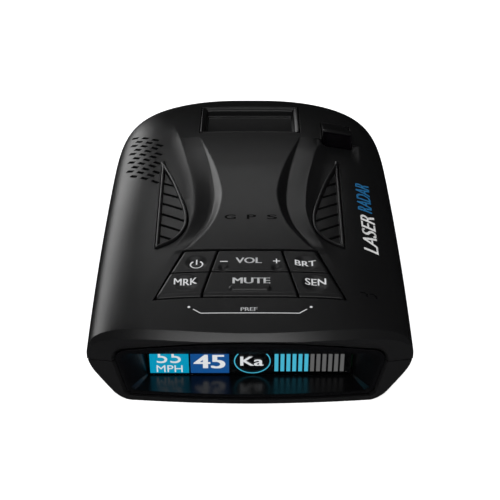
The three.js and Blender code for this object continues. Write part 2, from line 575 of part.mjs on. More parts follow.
// ---------------------------------------------------------------- radio front end and main board
// The board narrows to tongueX beyond shoulderY, and is cut back to notchX beside the power jack.
const MAIN_BOARD = { halfX: 26, y0: -46, y1: 53.5, shoulderY: 48.5, tongueX: 19.5, notchX: 24.5 };
const BOARD_HOLE = { post: 3.8, screw: 1.2 };
const overBoard = (x0, x1, y0, y1) => box(x0, x1, y0, y1, 0, BOARD_Z * 2);
let mainBoard = box(-MAIN_BOARD.halfX, MAIN_BOARD.halfX, MAIN_BOARD.y0, MAIN_BOARD.y1,
  BOARD_Z, BOARD_Z + BOARD_THICK)
  .subtract(overBoard(-40, -MAIN_BOARD.tongueX, MAIN_BOARD.shoulderY, 60))
  .subtract(overBoard(MAIN_BOARD.tongueX, 40, MAIN_BOARD.shoulderY, 60))
  .subtract(overBoard(MAIN_BOARD.notchX, 40, POWER_JACK.y0 - 0.5, POWER_JACK.y1 + 0.5));
for (const [x, y] of SCREW_POSTS) mainBoard = mainBoard.subtract(bar(x, y, BOARD_HOLE.post, 0, 9));
for (const [x, y] of BOARD_SCREWS) mainBoard = mainBoard.subtract(bar(x, y, BOARD_HOLE.screw, 0, 9, 12));
addPart('main_board', mainBoard, boardGreen);
const BOARD_DECK = BOARD_Z + BOARD_THICK + GAP;
// A straight feed from y0 to flareY, then a flare to the mouth at y1.
const HORN = {
  y0: 15, flareY: 29, y1: 60.6, halfBack: 5, halfMouth: 18.5, topBack: 11, topMouth: 16.6, wall: 1.1,
  backWall: 2,
};
const hornRing = (y, half, top, inset) => {
  const low = BOARD_DECK + GAP + inset;
  const x = half - inset;
  const high = top - inset;
  return [[-x, y, low], [x, y, low], [x, y, high], [-x, y, high]];
};
const hornSkin = (y0, y1, inset) => loft([
  hornRing(y0, HORN.halfBack, HORN.topBack, inset),
  hornRing(HORN.flareY, HORN.halfBack, HORN.topBack, inset),
  hornRing(y1, HORN.halfMouth, HORN.topMouth, inset),
]);
addPart('horn_antenna', hornSkin(HORN.y0, HORN.y1, 0)
  .subtract(hornSkin(HORN.y0 + HORN.backWall, HORN.y1 + 1, HORN.wall)), castZinc);

// Flat modules over the main board: plan size, then the height of foot and top above the board.
const MODULES = [
  { name: 'rf_board', plan: [-12, 12, -10, 14], foot: 4, top: 5.2, material: boardGreen },
  { name: 'rf_shield', plan: [-10.5, 10.5, -8.5, 12.5], foot: 5.5, top: 9, material: tinPlate },
  { name: 'processor_shield', plan: [-20, -4, -38, -18], foot: 0, top: 2.4, material: tinPlate },
  { name: 'wireless_module', plan: [6, 20, -38, -20], foot: 0, top: 2.2, material: nickel },
];
for (const { name, plan, foot, top, material } of MODULES) {
  addPart(name, box(...plan, BOARD_DECK + foot, BOARD_DECK + top), material);
}

// ---------------------------------------------------------------- jacks on the right-hand side
const sideX = (y, z) => halfWidth(y) * sideLean(z);
function boxJack({ y0, y1, z0, z1, setback, deep, hole, wall }, y, z) {
  const face = sideX(y, z) - setback;
  return box(face - deep, face, y0, y1, z0, z1)
    .subtract(box(face - hole, face + 1, y0 + wall, y1 - wall, z0 + wall, z1 - wall));
}
addPart('power_jack', boxJack(POWER_JACK, 17, 8), glossBlack);
addPart('usb_jack', boxJack(USB_JACK, 0, 8), nickel);
const earFace = sideX(EAR_JACK.y, EAR_JACK.z) - EAR_JACK.setback;
const alongX = (radius, x0, x1) => solid(new THREE.CylinderGeometry(radius, radius, x1 - x0, 16)
  .rotateZ(Math.PI / 2).translate((x0 + x1) / 2, EAR_JACK.y, EAR_JACK.z));
addPart('earphone_jack', alongX(EAR_JACK.radius, earFace - EAR_JACK.deep, earFace)
  .subtract(alongX(EAR_JACK.holeRadius, earFace - EAR_JACK.hole, earFace + 1)), glossBlack);

// ---------------------------------------------------------------- screws
const CASE_SCREW = { headRadius: 2.4, headHigh: 1.7, shankRadius: 0.85, length: 16, headZ: 2.4 };
const BOARD_SCREW = { headRadius: 1.9, headHigh: 1.1, shankRadius: 0.8, length: 3.1 };
const CROSS_ARM = 0.28;            // half width of the cross recess

// A pan head with a cross recess on a plain shank, head down.
function screw({ headRadius, headHigh, shankRadius, length }) {
  const profile = [[0, 0], [headRadius * 0.7, 0], [headRadius, headHigh * 0.55], [headRadius, headHigh],
    [shankRadius, headHigh], [shankRadius, length - 0.8], [shankRadius * 0.3, length], [0, length]];
  const turned = solid(new THREE.LatheGeometry(profile.map(([r, z]) => new THREE.Vector2(r, z)), 14)
    .rotateX(Math.PI / 2));
  const arm = headRadius * 0.62;
  const recess = headHigh * 0.6;
  return turned.subtract(box(-arm, arm, -CROSS_ARM, CROSS_ARM, -1, recess))
    .subtract(box(-CROSS_ARM, CROSS_ARM, -arm, arm, -1, recess));
}
SCREW_POSTS.forEach(([x, y], i) => {
  addPart(`case_screw_${i + 1}`, screw(CASE_SCREW).translate(x, y, CASE_SCREW.headZ), screwSteel);
});
BOARD_SCREWS.forEach(([x, y], i) => {
  addPart(`board_screw_${i + 1}`, screw(BOARD_SCREW).rotate([180, 0, 0])
    .translate(x, y, BOARD_DECK + BOARD_SCREW.headHigh), screwSteel);
});

export default group;
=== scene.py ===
import math

import bmesh
import bpy
import numpy as np
from mathutils import Matrix, Vector


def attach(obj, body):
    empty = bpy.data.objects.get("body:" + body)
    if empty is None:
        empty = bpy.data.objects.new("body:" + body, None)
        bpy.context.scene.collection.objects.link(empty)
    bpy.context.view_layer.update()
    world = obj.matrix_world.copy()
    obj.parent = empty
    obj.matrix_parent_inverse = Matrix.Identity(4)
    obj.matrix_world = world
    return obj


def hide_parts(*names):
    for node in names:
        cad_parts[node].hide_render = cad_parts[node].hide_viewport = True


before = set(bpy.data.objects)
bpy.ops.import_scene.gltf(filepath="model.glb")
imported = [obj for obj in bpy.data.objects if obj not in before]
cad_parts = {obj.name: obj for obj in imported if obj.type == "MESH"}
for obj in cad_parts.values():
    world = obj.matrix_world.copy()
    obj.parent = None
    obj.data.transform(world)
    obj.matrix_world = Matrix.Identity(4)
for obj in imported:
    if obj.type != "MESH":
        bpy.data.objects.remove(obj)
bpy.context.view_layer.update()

# ------------------------------------------------------------
# Camera, floor and studio light. A long lens looks down on the detector from
# the driver's side. Softboxes stand low behind its left shoulder and higher up
# behind, above and before it, over a plain pale floor.
# ------------------------------------------------------------
scene = bpy.context.scene
scene.view_settings.view_transform = "Standard"


def linked(name, data):
    """A new object around that data, in the scene."""
    made = bpy.data.objects.new(name, data)
    scene.collection.objects.link(made)
    return made


def baked(piece):
    """The mesh of an object with its modifiers or lettering worked out."""
    bpy.context.view_layer.update()
    return bpy.data.meshes.new_from_object(piece.evaluated_get(bpy.context.evaluated_depsgraph_get()))


CAMERA_TARGET = Vector((0, -0.019, 0.0197))
CAMERA_ELEVATION = math.radians(33)
CAMERA_DISTANCE = 0.37
lens = bpy.data.cameras.new("camera")
lens.sensor_width = 36
lens.lens = 97.92
camera = linked("camera", lens)
camera.location = CAMERA_TARGET + CAMERA_DISTANCE * Vector(
    (0, -math.cos(CAMERA_ELEVATION), math.sin(CAMERA_ELEVATION)))
camera.rotation_euler = (math.pi / 2 - CAMERA_ELEVATION, 0, 0)
scene.camera = camera

world = bpy.data.worlds.new("studio")
scene.world = world
world.use_nodes = True
sky = world.node_tree.nodes["Background"]
sky.inputs["Color"].default_value = (1, 1, 1, 1)
sky.inputs["Strength"].default_value = 0.5
world.cycles_visibility.glossy = False


def softbox(name, toward, distance, width, height, power):
    """A square-on area light, seen from the case along the direction toward."""
    light = bpy.data.lights.new(name, "AREA")
    light.shape = "RECTANGLE"
    light.size, light.size_y = width, height
    light.energy = power
    holder = linked(name, light)
    way = Vector(toward).normalized()
    holder.location = CAMERA_TARGET + way * distance
    holder.rotation_euler = way.to_track_quat("Z", "Y").to_euler()


softbox("left_softbox", (-0.63, 0.75, 0.16), 0.8, 0.62, 0.34, 1.35)
softbox("back_softbox", (-0.10, 0.82, 0.57), 0.9, 0.40, 0.08, 0.24)
softbox("top_softbox", (-0.12, 0.24, 0.96), 0.8, 0.5, 0.10, 0.42)
softbox("driver_softbox", (-0.10, -0.58, 0.80), 0.8, 0.5, 0.24, 1.5)

FLOOR_HALF = 1.5
floor_mesh = bpy.data.meshes.new("floor")
floor_corners = [(x * FLOOR_HALF, y * FLOOR_HALF, 0) for x, y in ((-1, -1), (1, -1), (1, 1), (-1, 1))]
floor_mesh.from_pydata(floor_corners, [], [(0, 1, 2, 3)])
floor = linked("floor", floor_mesh)
floor.visible_glossy = False


class Value:
    """A shader value. Arithmetic on it adds Math nodes to its material."""

    def __init__(self, finish, socket):
        self.finish, self.socket = finish, socket

    def __add__(self, other):
        return self.finish.math("ADD", self, other)

    def __sub__(self, other):
        return self.finish.math("SUBTRACT", self, other)

    def __rsub__(self, other):
        return self.finish.math("SUBTRACT", other, self)

    def __mul__(self, other):
        return self.finish.math("MULTIPLY", self, other)

    def __gt__(self, other):
        return self.finish.math("GREATER_THAN", self, other)

    __radd__, __rmul__ = __add__, __mul__


class Finish:
    """A material around one Principled shader. Even values come first, then feed adds varying ones."""

    def __init__(self, name, **even):
        self.material = bpy.data.materials.new(name)
        self.material.use_nodes = True
        self.tree = self.material.node_tree
        self.shader = self.tree.nodes["Principled BSDF"]
        for socket, value in even.items():
            if isinstance(value, tuple):
                value = (*value, 1)
            self.shader.inputs[socket.replace("_", " ")].default_value = value

    def node(self, kind, sockets=None, output=0, **settings):
        made = self.tree.nodes.new("ShaderNode" + kind)
        for setting, value in settings.items():
            setattr(made, setting, value)
        for socket, value in (sockets or {}).items():
            self.set(made.inputs[socket], value)
        return Value(self, made.outputs[output])

    def set(self, socket, value):
        if isinstance(value, Value):
            self.tree.links.new(value.socket, socket)
        elif isinstance(value, tuple) and len(value) < len(socket.default_value):
            socket.default_value = (*value, 1)
        else:
            socket.default_value = value

    def math(self, operation, *values):
        return self.node("Math", dict(enumerate(values)), operation=operation)

    def place(self):
        return self.node("TexCoord", output="Object")

    def noise(self, grains_per_metre, detail=2.0, roughness=0.5, vector=None):
        return self.node("TexNoise", {"Vector": vector or self.place(), "Scale": grains_per_metre,
                                      "Detail": detail, "Roughness": roughness})

    def blend(self, share, first, second):
        """A colour between first and second."""
        return self.node("Mix", {0: share, 6: first, 7: second}, output=2, data_type="RGBA")

    def bump(self, height, depth, soften=0.0):
        """A normal from a height field of that depth in metres, over edges eased by soften."""
        sockets = {"Height": height, "Distance": depth, "Strength": 1.0}
        if soften:
            sockets["Normal"] = self.node("Bevel", {"Radius": soften}, samples=4)
        return self.node("Bump", sockets)

    def feed(self, **varying):
        for socket, value in varying.items():
            self.set(self.shader.inputs[socket.replace("_", " ")], value)
        return self


pale_floor = Finish("pale_floor", Roughness=0.9, Specular_IOR_Level=0.0, Emission_Strength=0.8,
                    Emission_Color=(1, 1, 1))
pale_floor.feed(Base_Color=pale_floor.blend(pale_floor.noise(3.0), (0.93, 0.93, 0.93), (0.9, 0.9, 0.9)))
floor_mesh.materials.append(pale_floor.material)

# ------------------------------------------------------------
# Top cover: the upper half of the case, injection moulded in black ABS with a
# fine satin texture. A waisted panel stands up between two valleys, and
# windows are open for the keys, louvres, dock, hood, speaker and display.
# ------------------------------------------------------------
MM = 0.001
HALF_LENGTH, HALF_WIDTH = 67.8, 40.75
FAR_TRIM = 67.5 / HALF_LENGTH            # draws the rounded far end in to the case's true length
SIDE_FLARE, NEAR_DRAW_IN = 0.0115, 0.00025
FAR_POWER, FAR_ROOT = 5.2, 2.8           # how squarely the far end turns in plan
NOSE_POWER = 80                          # and how late it turns down
PARTING_Z, WALL, GAP = 14.5, 2.2, 0.3
TOP_POWER = 3.15                         # how squarely the crown turns down at the sides
CROWN_Y, CROWN_Z = 8, 30.7               # the crown's highest place
NEAR_RUN, NEAR_FALL, NEAR_POWER = 73.8, 4.3, 1.6
FAR_RUN, FAR_FALL, FAR_FALL_POWER = 59.8, 8.9, 2.7
BROW_Z, BROW_Y, BROW_REACH, BROW_FOLLOW = 24.5, -64.0, 39.0, 0.8
END_LEAN, END_BOW, END_UNBOW = 0.3, 0.004, 0.00008


def case_half_width(y):
    straight = HALF_WIDTH - SIDE_FLARE * y
    share = np.clip(y / HALF_LENGTH, 0, 1)
    return np.where(y <= 0, straight - NEAR_DRAW_IN * y * y,
                    straight * (1 - share ** FAR_POWER) ** (1 / FAR_ROOT))


def nose(y):
    return (1 - np.clip(y / HALF_LENGTH, 0, 1) ** NOSE_POWER) ** (1 / 3)


def crown_z(y):
    near = np.maximum(0, (CROWN_Y - y) / NEAR_RUN)
    far = np.maximum(0, (y - CROWN_Y) / FAR_RUN)
    return CROWN_Z - NEAR_FALL * near ** NEAR_POWER - FAR_FALL * far ** FAR_FALL_POWER


def case_top(x, y):
    """Height of the plain crown, before the panel and valleys are formed on it."""
    across = np.minimum(1, np.abs(x) / np.maximum(case_half_width(y), 1e-3))
    return PARTING_Z + (crown_z(y) - PARTING_Z) * nose(y) * (1 - across ** TOP_POWER) ** (1 / TOP_POWER)


def crown_at(x, y):
    """The same height at a single point."""
    return float(case_top(np.array(x), np.array(y)))


def brow_z(x):
    """Lower edge of the brow, which follows most of the crown's fall towards the sides."""
    drop = crown_at(0.0, BROW_Y) - crown_at(min(BROW_REACH, abs(x)), BROW_Y)
    return BROW_Z - BROW_FOLLOW * drop


def end_bow(x, shift):
    """Where the near end stands at the brow: it bows in plan."""
    return -HALF_LENGTH + END_BOW * x * x + shift


def end_lean(x):
    """How much the near end leans in towards the base, per millimetre down."""
    return END_LEAN - END_UNBOW * x * x


def flowing(points):
    """A smooth function of the second coordinate through (value, place) points."""
    points = sorted(points, key=lambda point: point[1])
    values = np.array([point[0] for point in points], float)
    places = np.array([point[1] for point in points], float)
    slopes = np.gradient(values, places)

    def at(place):
        place = np.clip(place, places[0], places[-1])
        i = np.clip(np.searchsorted(places, place, side="right") - 1, 0, len(places) - 2)
        step = places[i + 1] - places[i]
        t = (place - places[i]) / step
        return (values[i] * (1 + 2 * t) * (1 - t) ** 2 + values[i + 1] * t * t * (3 - 2 * t)
                + step * (slopes[i] * t * (1 - t) ** 2 - slopes[i + 1] * t * t * (1 - t)))

    return at


# Half widths of the panel's edge, of the foot of its wall and of the ridge outside the valley.
panel_edge = flowing([
    (16.5, 68), (16, 40), (15.2, 31), (14.6, 26.2), (12.5, 17.8), (10.1, 8.4), (8.4, 0), (7.6, -7.5),
    (8, -12.8),
    (9.4, -20.1), (11.4, -25.2), (13.5, -29), (15.2, -31.8), (17, -33.7), (20, -42), (23.6, -52),
    (24.5, -70)])
wall_foot = flowing([
    (17, 68), (16.4, 40), (15.6, 31), (14.95, 26.2), (13.2, 17.8), (11.4, 8.4), (10.4, 0), (9.9, -6.9),
    (10.15, -12.8), (11.3, -19.4), (12.8, -23.9), (14.5, -27.6), (16, -31.3), (17.4, -33.7), (20.4, -42),
    (24, -52), (24.9, -70)])
ridge_line = flowing([
    (25, 68), (23.6, 40), (21.6, 30.8), (19.9, 21.8), (17.9, 10.8), (16.1, -0.3), (15.3, -9.4), (15.2, -14.8),
    (15.8, -19.9), (17.1, -25.8), (18.6, -29.6), (21, -37), (25, -52), (26, -70)])
# Levels against the plain crown, and how strongly the ridge stands out.
panel_rise = flowing([(0.3, 26.2), (0.5, 15), (0.66, 4), (0.7, -8), (0.62, -24), (0.5, -33.7)])
foot_level = flowing([
    (0.3, 26.2), (0.02, 19.5), (-0.62, 10), (-1.05, 0), (-1.2, -8), (-1.12, -15), (-0.8, -23), (-0.2, -29.5),
    (0.4, -33.7)])
ridge_strength = flowing([
    (0, 60), (0, 38), (0.55, 27), (1, 14), (1, -16), (0.7, -25), (0.2, -34), (0, -42), (0, -70)])
PANEL_FAR_Y, PANEL_NEAR_Y = 26.1, -33.9
EDGE_LIMIT, FOOT_LIMIT, RIDGE_LIMIT = 0.40, 0.43, 0.62    # shares of the half width, for the rounded far end


def eased(share):
    share = np.clip(share, 0, 1)
    return share * share * (3 - 2 * share)


def relief_at(x, y):
    """The panel, its wall, the valley, the ridge and the fall outside it, over the plain crown."""
    x = np.abs(x)
    width = np.maximum(case_half_width(y), 1e-3)
    edge = np.minimum(panel_edge(y), EDGE_LIMIT * width)
    foot = np.minimum(wall_foot(y), FOOT_LIMIT * width)
    ridge = np.minimum(ridge_line(y), RIDGE_LIMIT * width)
    inside = ((y < PANEL_FAR_Y) & (y > PANEL_NEAR_Y)).astype(float)
    rise = panel_rise(y) * inside
    low = np.where(inside > 0, foot_level(y), 0.0) * inside
    crest = 0.18 * ridge_strength(y)
    wall = rise + (low - rise) * np.clip((x - edge) / (foot - edge), 0, 1)
    valley = low + (crest - low) * np.clip((x - foot) / (ridge - foot), 0, 1) ** 1.15
    away = np.maximum(0, x - ridge)
    fall = crest * np.exp(-away / 3) - 0.75 * ridge_strength(y) * (away / 4) * np.exp(1 - away / 4)
    return np.where(x < foot, wall, np.where(x < ridge, valley, fall))


def scoop_at(x, y):
    """The shallow scoop in front of the laser hood, on the right-hand side only."""
    return -1.1 * eased((x - 19.5) / 2.5) * eased((32.5 - x) / 2.5) * eased((y - 10) / 15) * (y < 26)


def top_surface(x, y):
    x, y = np.asarray(x, float), np.asarray(y, float)
    relief = sum(relief_at(x + step, y) for step in (-0.2, -0.1, 0.0, 0.1, 0.2)) / 5
    return case_top(x, y) + relief * (nose(y) > 0.5) + scoop_at(x, y)


def object_from(name, vertices, faces, material=None):
    """A piece from points in millimetres."""
    mesh = bpy.data.meshes.new(name)
    mesh.from_pydata((np.asarray(vertices, float) * MM).tolist(), [], faces)
    if material:
        mesh.materials.append(material)
    return linked(name, mesh)


def outward(piece):
    """Merges doubles and turns every face outwards."""
    work = bmesh.new()
    work.from_mesh(piece.data)
    bmesh.ops.remove_doubles(work, verts=work.verts, dist=1e-7)
    bmesh.ops.dissolve_degenerate(work, dist=1e-7, edges=work.edges)
    bmesh.ops.recalc_face_normals(work, faces=work.faces)
    work.to_mesh(piece.data)
    work.free()
    return piece


def rings_to_solid(name, rings, material=None, closed=True):
    """A skin through rings of equal count, capped at both ends or else joined from last to first."""
    rings = np.asarray(rings, float)
    count, around = rings.shape[:2]
    index = np.arange(count * around).reshape(count, around)
    faces = []
    for first, second in zip(index, index[1:] if closed else np.roll(index, -1, axis=0)):
        faces += zip(first.tolist(), np.roll(first, -1).tolist(), np.roll(second, -1).tolist(),
                     second.tolist())
    if closed:
        faces += [tuple(index[0, ::-1].tolist()), tuple(index[-1].tolist())]
    return outward(object_from(name, rings.reshape(-1, 3), faces, material))


def carve(piece, *tools, operation="DIFFERENCE"):
    """Cuts, joins or keeps a piece with closed tools, which are used up."""
    for tool in tools:
        modifier = piece.modifiers.new("carve", "BOOLEAN")
        modifier.object, modifier.operation, modifier.solver = tool, operation, "MANIFOLD"
        mesh = baked(piece)
        piece.modifiers.remove(modifier)
        if not len(mesh.polygons):
            raise RuntimeError(f"{tool.name} leaves nothing of {piece.name}")
        piece.data = mesh
        bpy.data.objects.remove(tool)
    return piece


def prism(name, outline, low, high):
    """A straight cutter of that plan outline."""
    return rings_to_solid(name, [[(x, y, z) for x, y in outline] for z in (low, high)])


def cuboid(name, x0, x1, y0, y1, z0, z1):
    return prism(name, [(x0, y0), (x1, y0), (x1, y1), (x0, y1)], z0, z1)


def case_rows():
    near = np.concatenate([[-71, -69.5, -68.2], np.arange(-67, PANEL_FAR_Y - 0.3, 0.75)])
    middle = np.concatenate([[PANEL_FAR_Y - 0.2, PANEL_FAR_Y - 0.02, PANEL_FAR_Y + 0.12, PANEL_FAR_Y + 0.4],
                             np.arange(27, 52, 0.8)])
    far = HALF_LENGTH - 15.8 * (1 - np.sin(np.linspace(0, math.pi / 2, 34)))
    return np.concatenate([near, middle, far[:-1], [HALF_LENGTH - 0.004]])


HALF_POINTS = 65                         # points of each section from the middle to the side


def top_lump(name, inset, formed):
    """The closed upper lump of the case: formed carries the relief, the plain one makes the hollow."""
    rows = case_rows() if formed else np.concatenate([np.arange(-71, 50, 4), np.linspace(50, 67.6, 14)])
    rings = []
    for y in rows:
        width = max(0.3, float(case_half_width(np.array(y))) - inset)
        if formed:
            edge = min(float(panel_edge(y)), EDGE_LIMIT * width)
            foot = min(float(wall_foot(y)), FOOT_LIMIT * width)
            ridge = min(float(ridge_line(y)), RIDGE_LIMIT * width)
            start = math.acos(min(1, (ridge / width) ** (TOP_POWER / 2)))
            middle = np.linspace(0, max(edge - 0.5, edge * 0.9), 9)
            wall = np.linspace(max(edge - 0.25, edge * 0.95), foot + min(0.35, (ridge - foot) * 0.2), 10)
            valley = np.linspace(wall[-1], ridge - min(0.3, (ridge - foot) * 0.2), 7)[1:]
            crest = ridge + np.array([-0.1, 0.08, 0.3]) * min(1, width / 30)
            outer = width * np.cos(np.linspace(start, 0, 40)[2:]) ** (2 / TOP_POWER)
            half = np.concatenate([middle, wall, valley, crest, outer[outer > crest[-1] + 0.05]])
            missing = HALF_POINTS - len(half)
            if missing > 0:
                half = np.concatenate([half[:-1], np.linspace(half[-2], half[-1], missing + 2)[1:]])
            half = half[:HALF_POINTS]
            half[-1] = width
        else:
            half = width * np.cos(np.linspace(math.pi / 2, 0, 18)) ** (2 / TOP_POWER)
        place = y * FAR_TRIM if y > 0 else y
        if formed:
            heights = top_surface(half, np.full_like(half, y))
            scooped = top_surface(-half, np.full_like(half, y))
        else:
            across = np.minimum(1, half / width)
            up = max(0.3, float((crown_z(y) - PARTING_Z) * nose(np.array(y))) - inset)
            heights = scooped = PARTING_Z + up * (1 - across ** TOP_POWER) ** (1 / TOP_POWER)
            place = place * (HALF_LENGTH - inset) / HALF_LENGTH if y > 0 else place
        heights[-1] = scooped[-1] = PARTING_Z
        ring = [(x, place, z) for x, z in zip(half[::-1], heights[::-1])]
        ring += [(-x, place, z) for x, z in zip(half[1:], scooped[1:])]
        if not formed:
            ring += [(-half[-1], place, PARTING_Z - 3), (half[-1], place, PARTING_Z - 3)]
        rings.append(ring)
    return rings_to_solid(name, rings)


def end_cutter(name, shift):
    """What is taken off at the near end: a brow band, then a face that leans in towards the base."""
    rings = []
    for x in np.arange(-48, 48.1, 1.5):
        bow, brow = end_bow(x, shift), brow_z(x)
        rings.append([(x, -95, 60), (x, bow + (60 - brow) * 0.94, 60), (x, bow + 0.35, brow + 0.37),
                      (x, bow + 0.06, brow + 0.1), (x, bow + 0.04, brow - 0.2),
                      (x, bow + (brow + 8) * end_lean(x), -8), (x, -95, -8)])
    return rings_to_solid(name, rings)


# Inside of the display tunnel at three stations from the mouth inwards.
TUNNEL = [
    {"y": -69, "floor": 2.3, "roof": 25, "low": 38.1, "high": 38.2, "round": 6, "chamfer": 1.5},
    {"y": -62, "floor": 2.9, "roof": 17.05, "low": 32.3, "high": 33.2, "round": 4, "chamfer": 1.5},
    {"y": -52.9, "floor": 3.7, "roof": 13.9, "low": 26.2, "high": 26.4, "round": 1.2, "chamfer": 0.3},
]


def tunnel_ring(y, wall):
    """The tunnel's section at y, grown outwards by wall."""
    ys = [station["y"] for station in TUNNEL]
    at = {key: float(np.interp(y, ys, [station[key] for station in TUNNEL])) for key in TUNNEL[0]}
    bottom, top = at["floor"] - wall, at["roof"] + wall
    low, high, turn, cut = at["low"] + wall, at["high"] + wall, at["round"], at["chamfer"]
    half = [(x, bottom) for x in np.linspace(0, low - cut, 14)]
    half += [(low - cut / 2, bottom + cut / 2), (low, bottom + cut)]
    half += [(low + (high - low) * t, bottom + cut + (top - turn - bottom - cut) * t)
             for t in np.linspace(0, 1, 8)[1:-1]]
    half += [(high - turn + turn * math.cos(a), top - turn + turn * math.sin(a))
             for a in np.linspace(0, math.pi / 2, 12)]
    half += [(x, top) for x in np.linspace(high - turn, 0, 16)[1:]]
    return np.array([(x, z) for x, z in half] + [(-x, z) for x, z in half[-2:0:-1]])


TUNNEL_SPARE = 1.5                       # the bezel's wall and the gap round it


def tunnel_room(name, wall):
    return rings_to_solid(name, [[(x, station["y"], z) for x, z in tunnel_ring(station["y"], wall)]
                                 for station in TUNNEL])


KEY_FAR_Y, KEY_NEAR_Y = -33.9, -52.3
KEY_FAR_X, KEY_NEAR_X = 17.1, 23.7
KEY_GAP = 0.5
LOUVRE_EDGE = [(-25.1, 12.6), (-21.8, 3.2), (-19.7, -4.1), (-18.3, -9.8), (-17.3, -14.2), (-16.8, -18.4),
               (-17, -22.4), (-17.9, -25.3), (-19.5, -27.9), (-22, -29.7), (-24.7, -31)]
LOUVRE_MIDDLE = np.array([-21.5, -15.0])


def louvre_outline(grow, side):
    """The D-shaped outline of a louvre insert, grown from a point inside it."""
    points = np.array(LOUVRE_EDGE)
    run = np.concatenate([[0], np.cumsum(np.linalg.norm(np.diff(points, axis=0), axis=1))])
    steps = np.linspace(0, run[-1], 61)
    curved = np.stack([flowing(list(zip(points[:, k], run)))(steps) for k in (0, 1)], axis=1)
    closing = curved[-1] + (curved[0] - curved[-1]) * np.linspace(0, 1, 31)[1:-1, None]
    outline = np.concatenate([curved, closing])
    ahead, behind = np.roll(outline, -1, axis=0), np.roll(outline, 1, axis=0)
    along = ahead - behind
    normal = np.stack([-along[:, 1], along[:, 0]], axis=1)
    normal /= np.linalg.norm(normal, axis=1)[:, None]
    facing = np.sign(np.sum(normal * (outline - LOUVRE_MIDDLE), axis=1))
    outline = outline + normal * facing[:, None] * grow
    return [(x * -side, y) for x, y in outline]


def turned_box(name, centre, slope, halves, z0, z1):
    """A cutter box turned about X, as the dock is."""
    turn = Matrix.Rotation(slope, 3, "X")
    rings = [[tuple(Vector(centre) + turn @ Vector((sx * halves[0], sy * halves[1], z)))
              for sx, sy in ((-1, -1), (1, -1), (1, 1), (-1, 1))] for z in (z0, z1)]
    return rings_to_solid(name, rings)


DOCK_HALF_X, DOCK_Y0, DOCK_Y1, DOCK_DEPTH = 15.1, 29.2, 53.4, 3.1
DOCK_SLOPE = math.radians(-9.2)
DOCK_CENTRE = (0, (DOCK_Y0 + DOCK_Y1) / 2, (crown_at(0.0, DOCK_Y0) + crown_at(0.0, DOCK_Y1)) / 2)
HOOD_X0, HOOD_X1, HOOD_Y0, HOOD_Y1 = 21.5, 29.9, 25.8, 38.5
HOOD_WINDOW = 1.2                        # room for the dark window before the hood
FAR_WINDOW_HALF, FAR_WINDOW_LOW, FAR_WINDOW_HIGH = 11, 17, 21.6


COOL_TINT = (1.0, 1.0, 1.06)


def moulded_plastic(name, shade, gloss, grain_depth, soften=0.0002):
    """Satin black plastic: spark-eroded grain, faint flow marks and polished high spots."""
    finish = Finish(name, IOR=1.48)
    grain = finish.noise(5200.0, 3.0, 0.6)
    cloud = finish.noise(60.0, 3.0, 0.55)
    smear = finish.noise(14.0, 2.0, 0.5)
    dark = tuple(shade * 0.8 * part for part in COOL_TINT)
    light = tuple(shade * 1.25 * part for part in COOL_TINT)
    finish.feed(Base_Color=finish.blend(cloud * 0.5 + grain * 0.5, dark, light),
                Roughness=gloss + (cloud - 0.5) * 0.10 + (grain - 0.5) * 0.10 + (smear - 0.5) * 0.06,
                Normal=finish.bump(grain + cloud * 0.6, grain_depth, soften))
    return finish


case_black = moulded_plastic("case_black_satin", 0.0075, 0.31, 0.000012)


def arrange(name, build, material, **inputs):
    """Runs a Geometry Nodes tree on an empty mesh and returns its result as a plain piece."""
    tree = bpy.data.node_groups.new(name, "GeometryNodeTree")
    tree.interface.new_socket("Geometry", in_out="OUTPUT", socket_type="NodeSocketGeometry")
    sockets = {}
    for key, value in inputs.items():
        kind = {int: "NodeSocketInt", float: "NodeSocketFloat"}.get(type(value), "NodeSocketVector")
        sockets[key] = tree.interface.new_socket(key, in_out="INPUT", socket_type=kind)
    entry = tree.nodes.new("NodeGroupInput")
    leave = tree.nodes.new("NodeGroupOutput")

    def add(kind, links=None, **settings):
        node = tree.nodes.new(kind)
        for setting, value in settings.items():
            setattr(node, setting, value)
        for socket, value in (links or {}).items():
            if isinstance(value, bpy.types.NodeSocket):
                tree.links.new(value, node.inputs[socket])
            else:
                node.inputs[socket].default_value = value
        return node

    made = add("GeometryNodeSetMaterial", {"Geometry": build(add, entry.outputs), "Material": material})
    tree.links.new(made.outputs[0], leave.inputs[0])
    holder = linked(name, bpy.data.meshes.new(name))
    modifier = holder.modifiers.new(name, "NODES")
    modifier.node_group = tree
    for key, value in inputs.items():
        modifier[sockets[key].identifier] = value
    mesh = baked(holder)
    holder.modifiers.clear()
    holder.data = mesh
    return outward(holder)


def scaled(*lengths):
    """Millimetres to metres."""
    return tuple(length * MM for length in lengths)


def box_row(add, given):
    """A row of boxes, each turned where it stands, then leaned and moved as a whole."""
    line = add("GeometryNodeMeshLine", {"Count": given["count"], "Offset": given["pitch"]})
    box = add("GeometryNodeMeshCube", {"Size": given["size"]})
    turned = add("GeometryNodeTransform", {"Geometry": box.outputs[0], "Rotation": given["turn"]})
    row = add("GeometryNodeInstanceOnPoints", {"Points": line.outputs[0], "Instance": turned.outputs[0]})
    placed = add("GeometryNodeTransform", {"Geometry": row.outputs[0], "Translation": given["first"],
                                           "Rotation": given["lean"]})
    return add("GeometryNodeRealizeInstances", {"Geometry": placed.outputs[0]}).outputs[0]


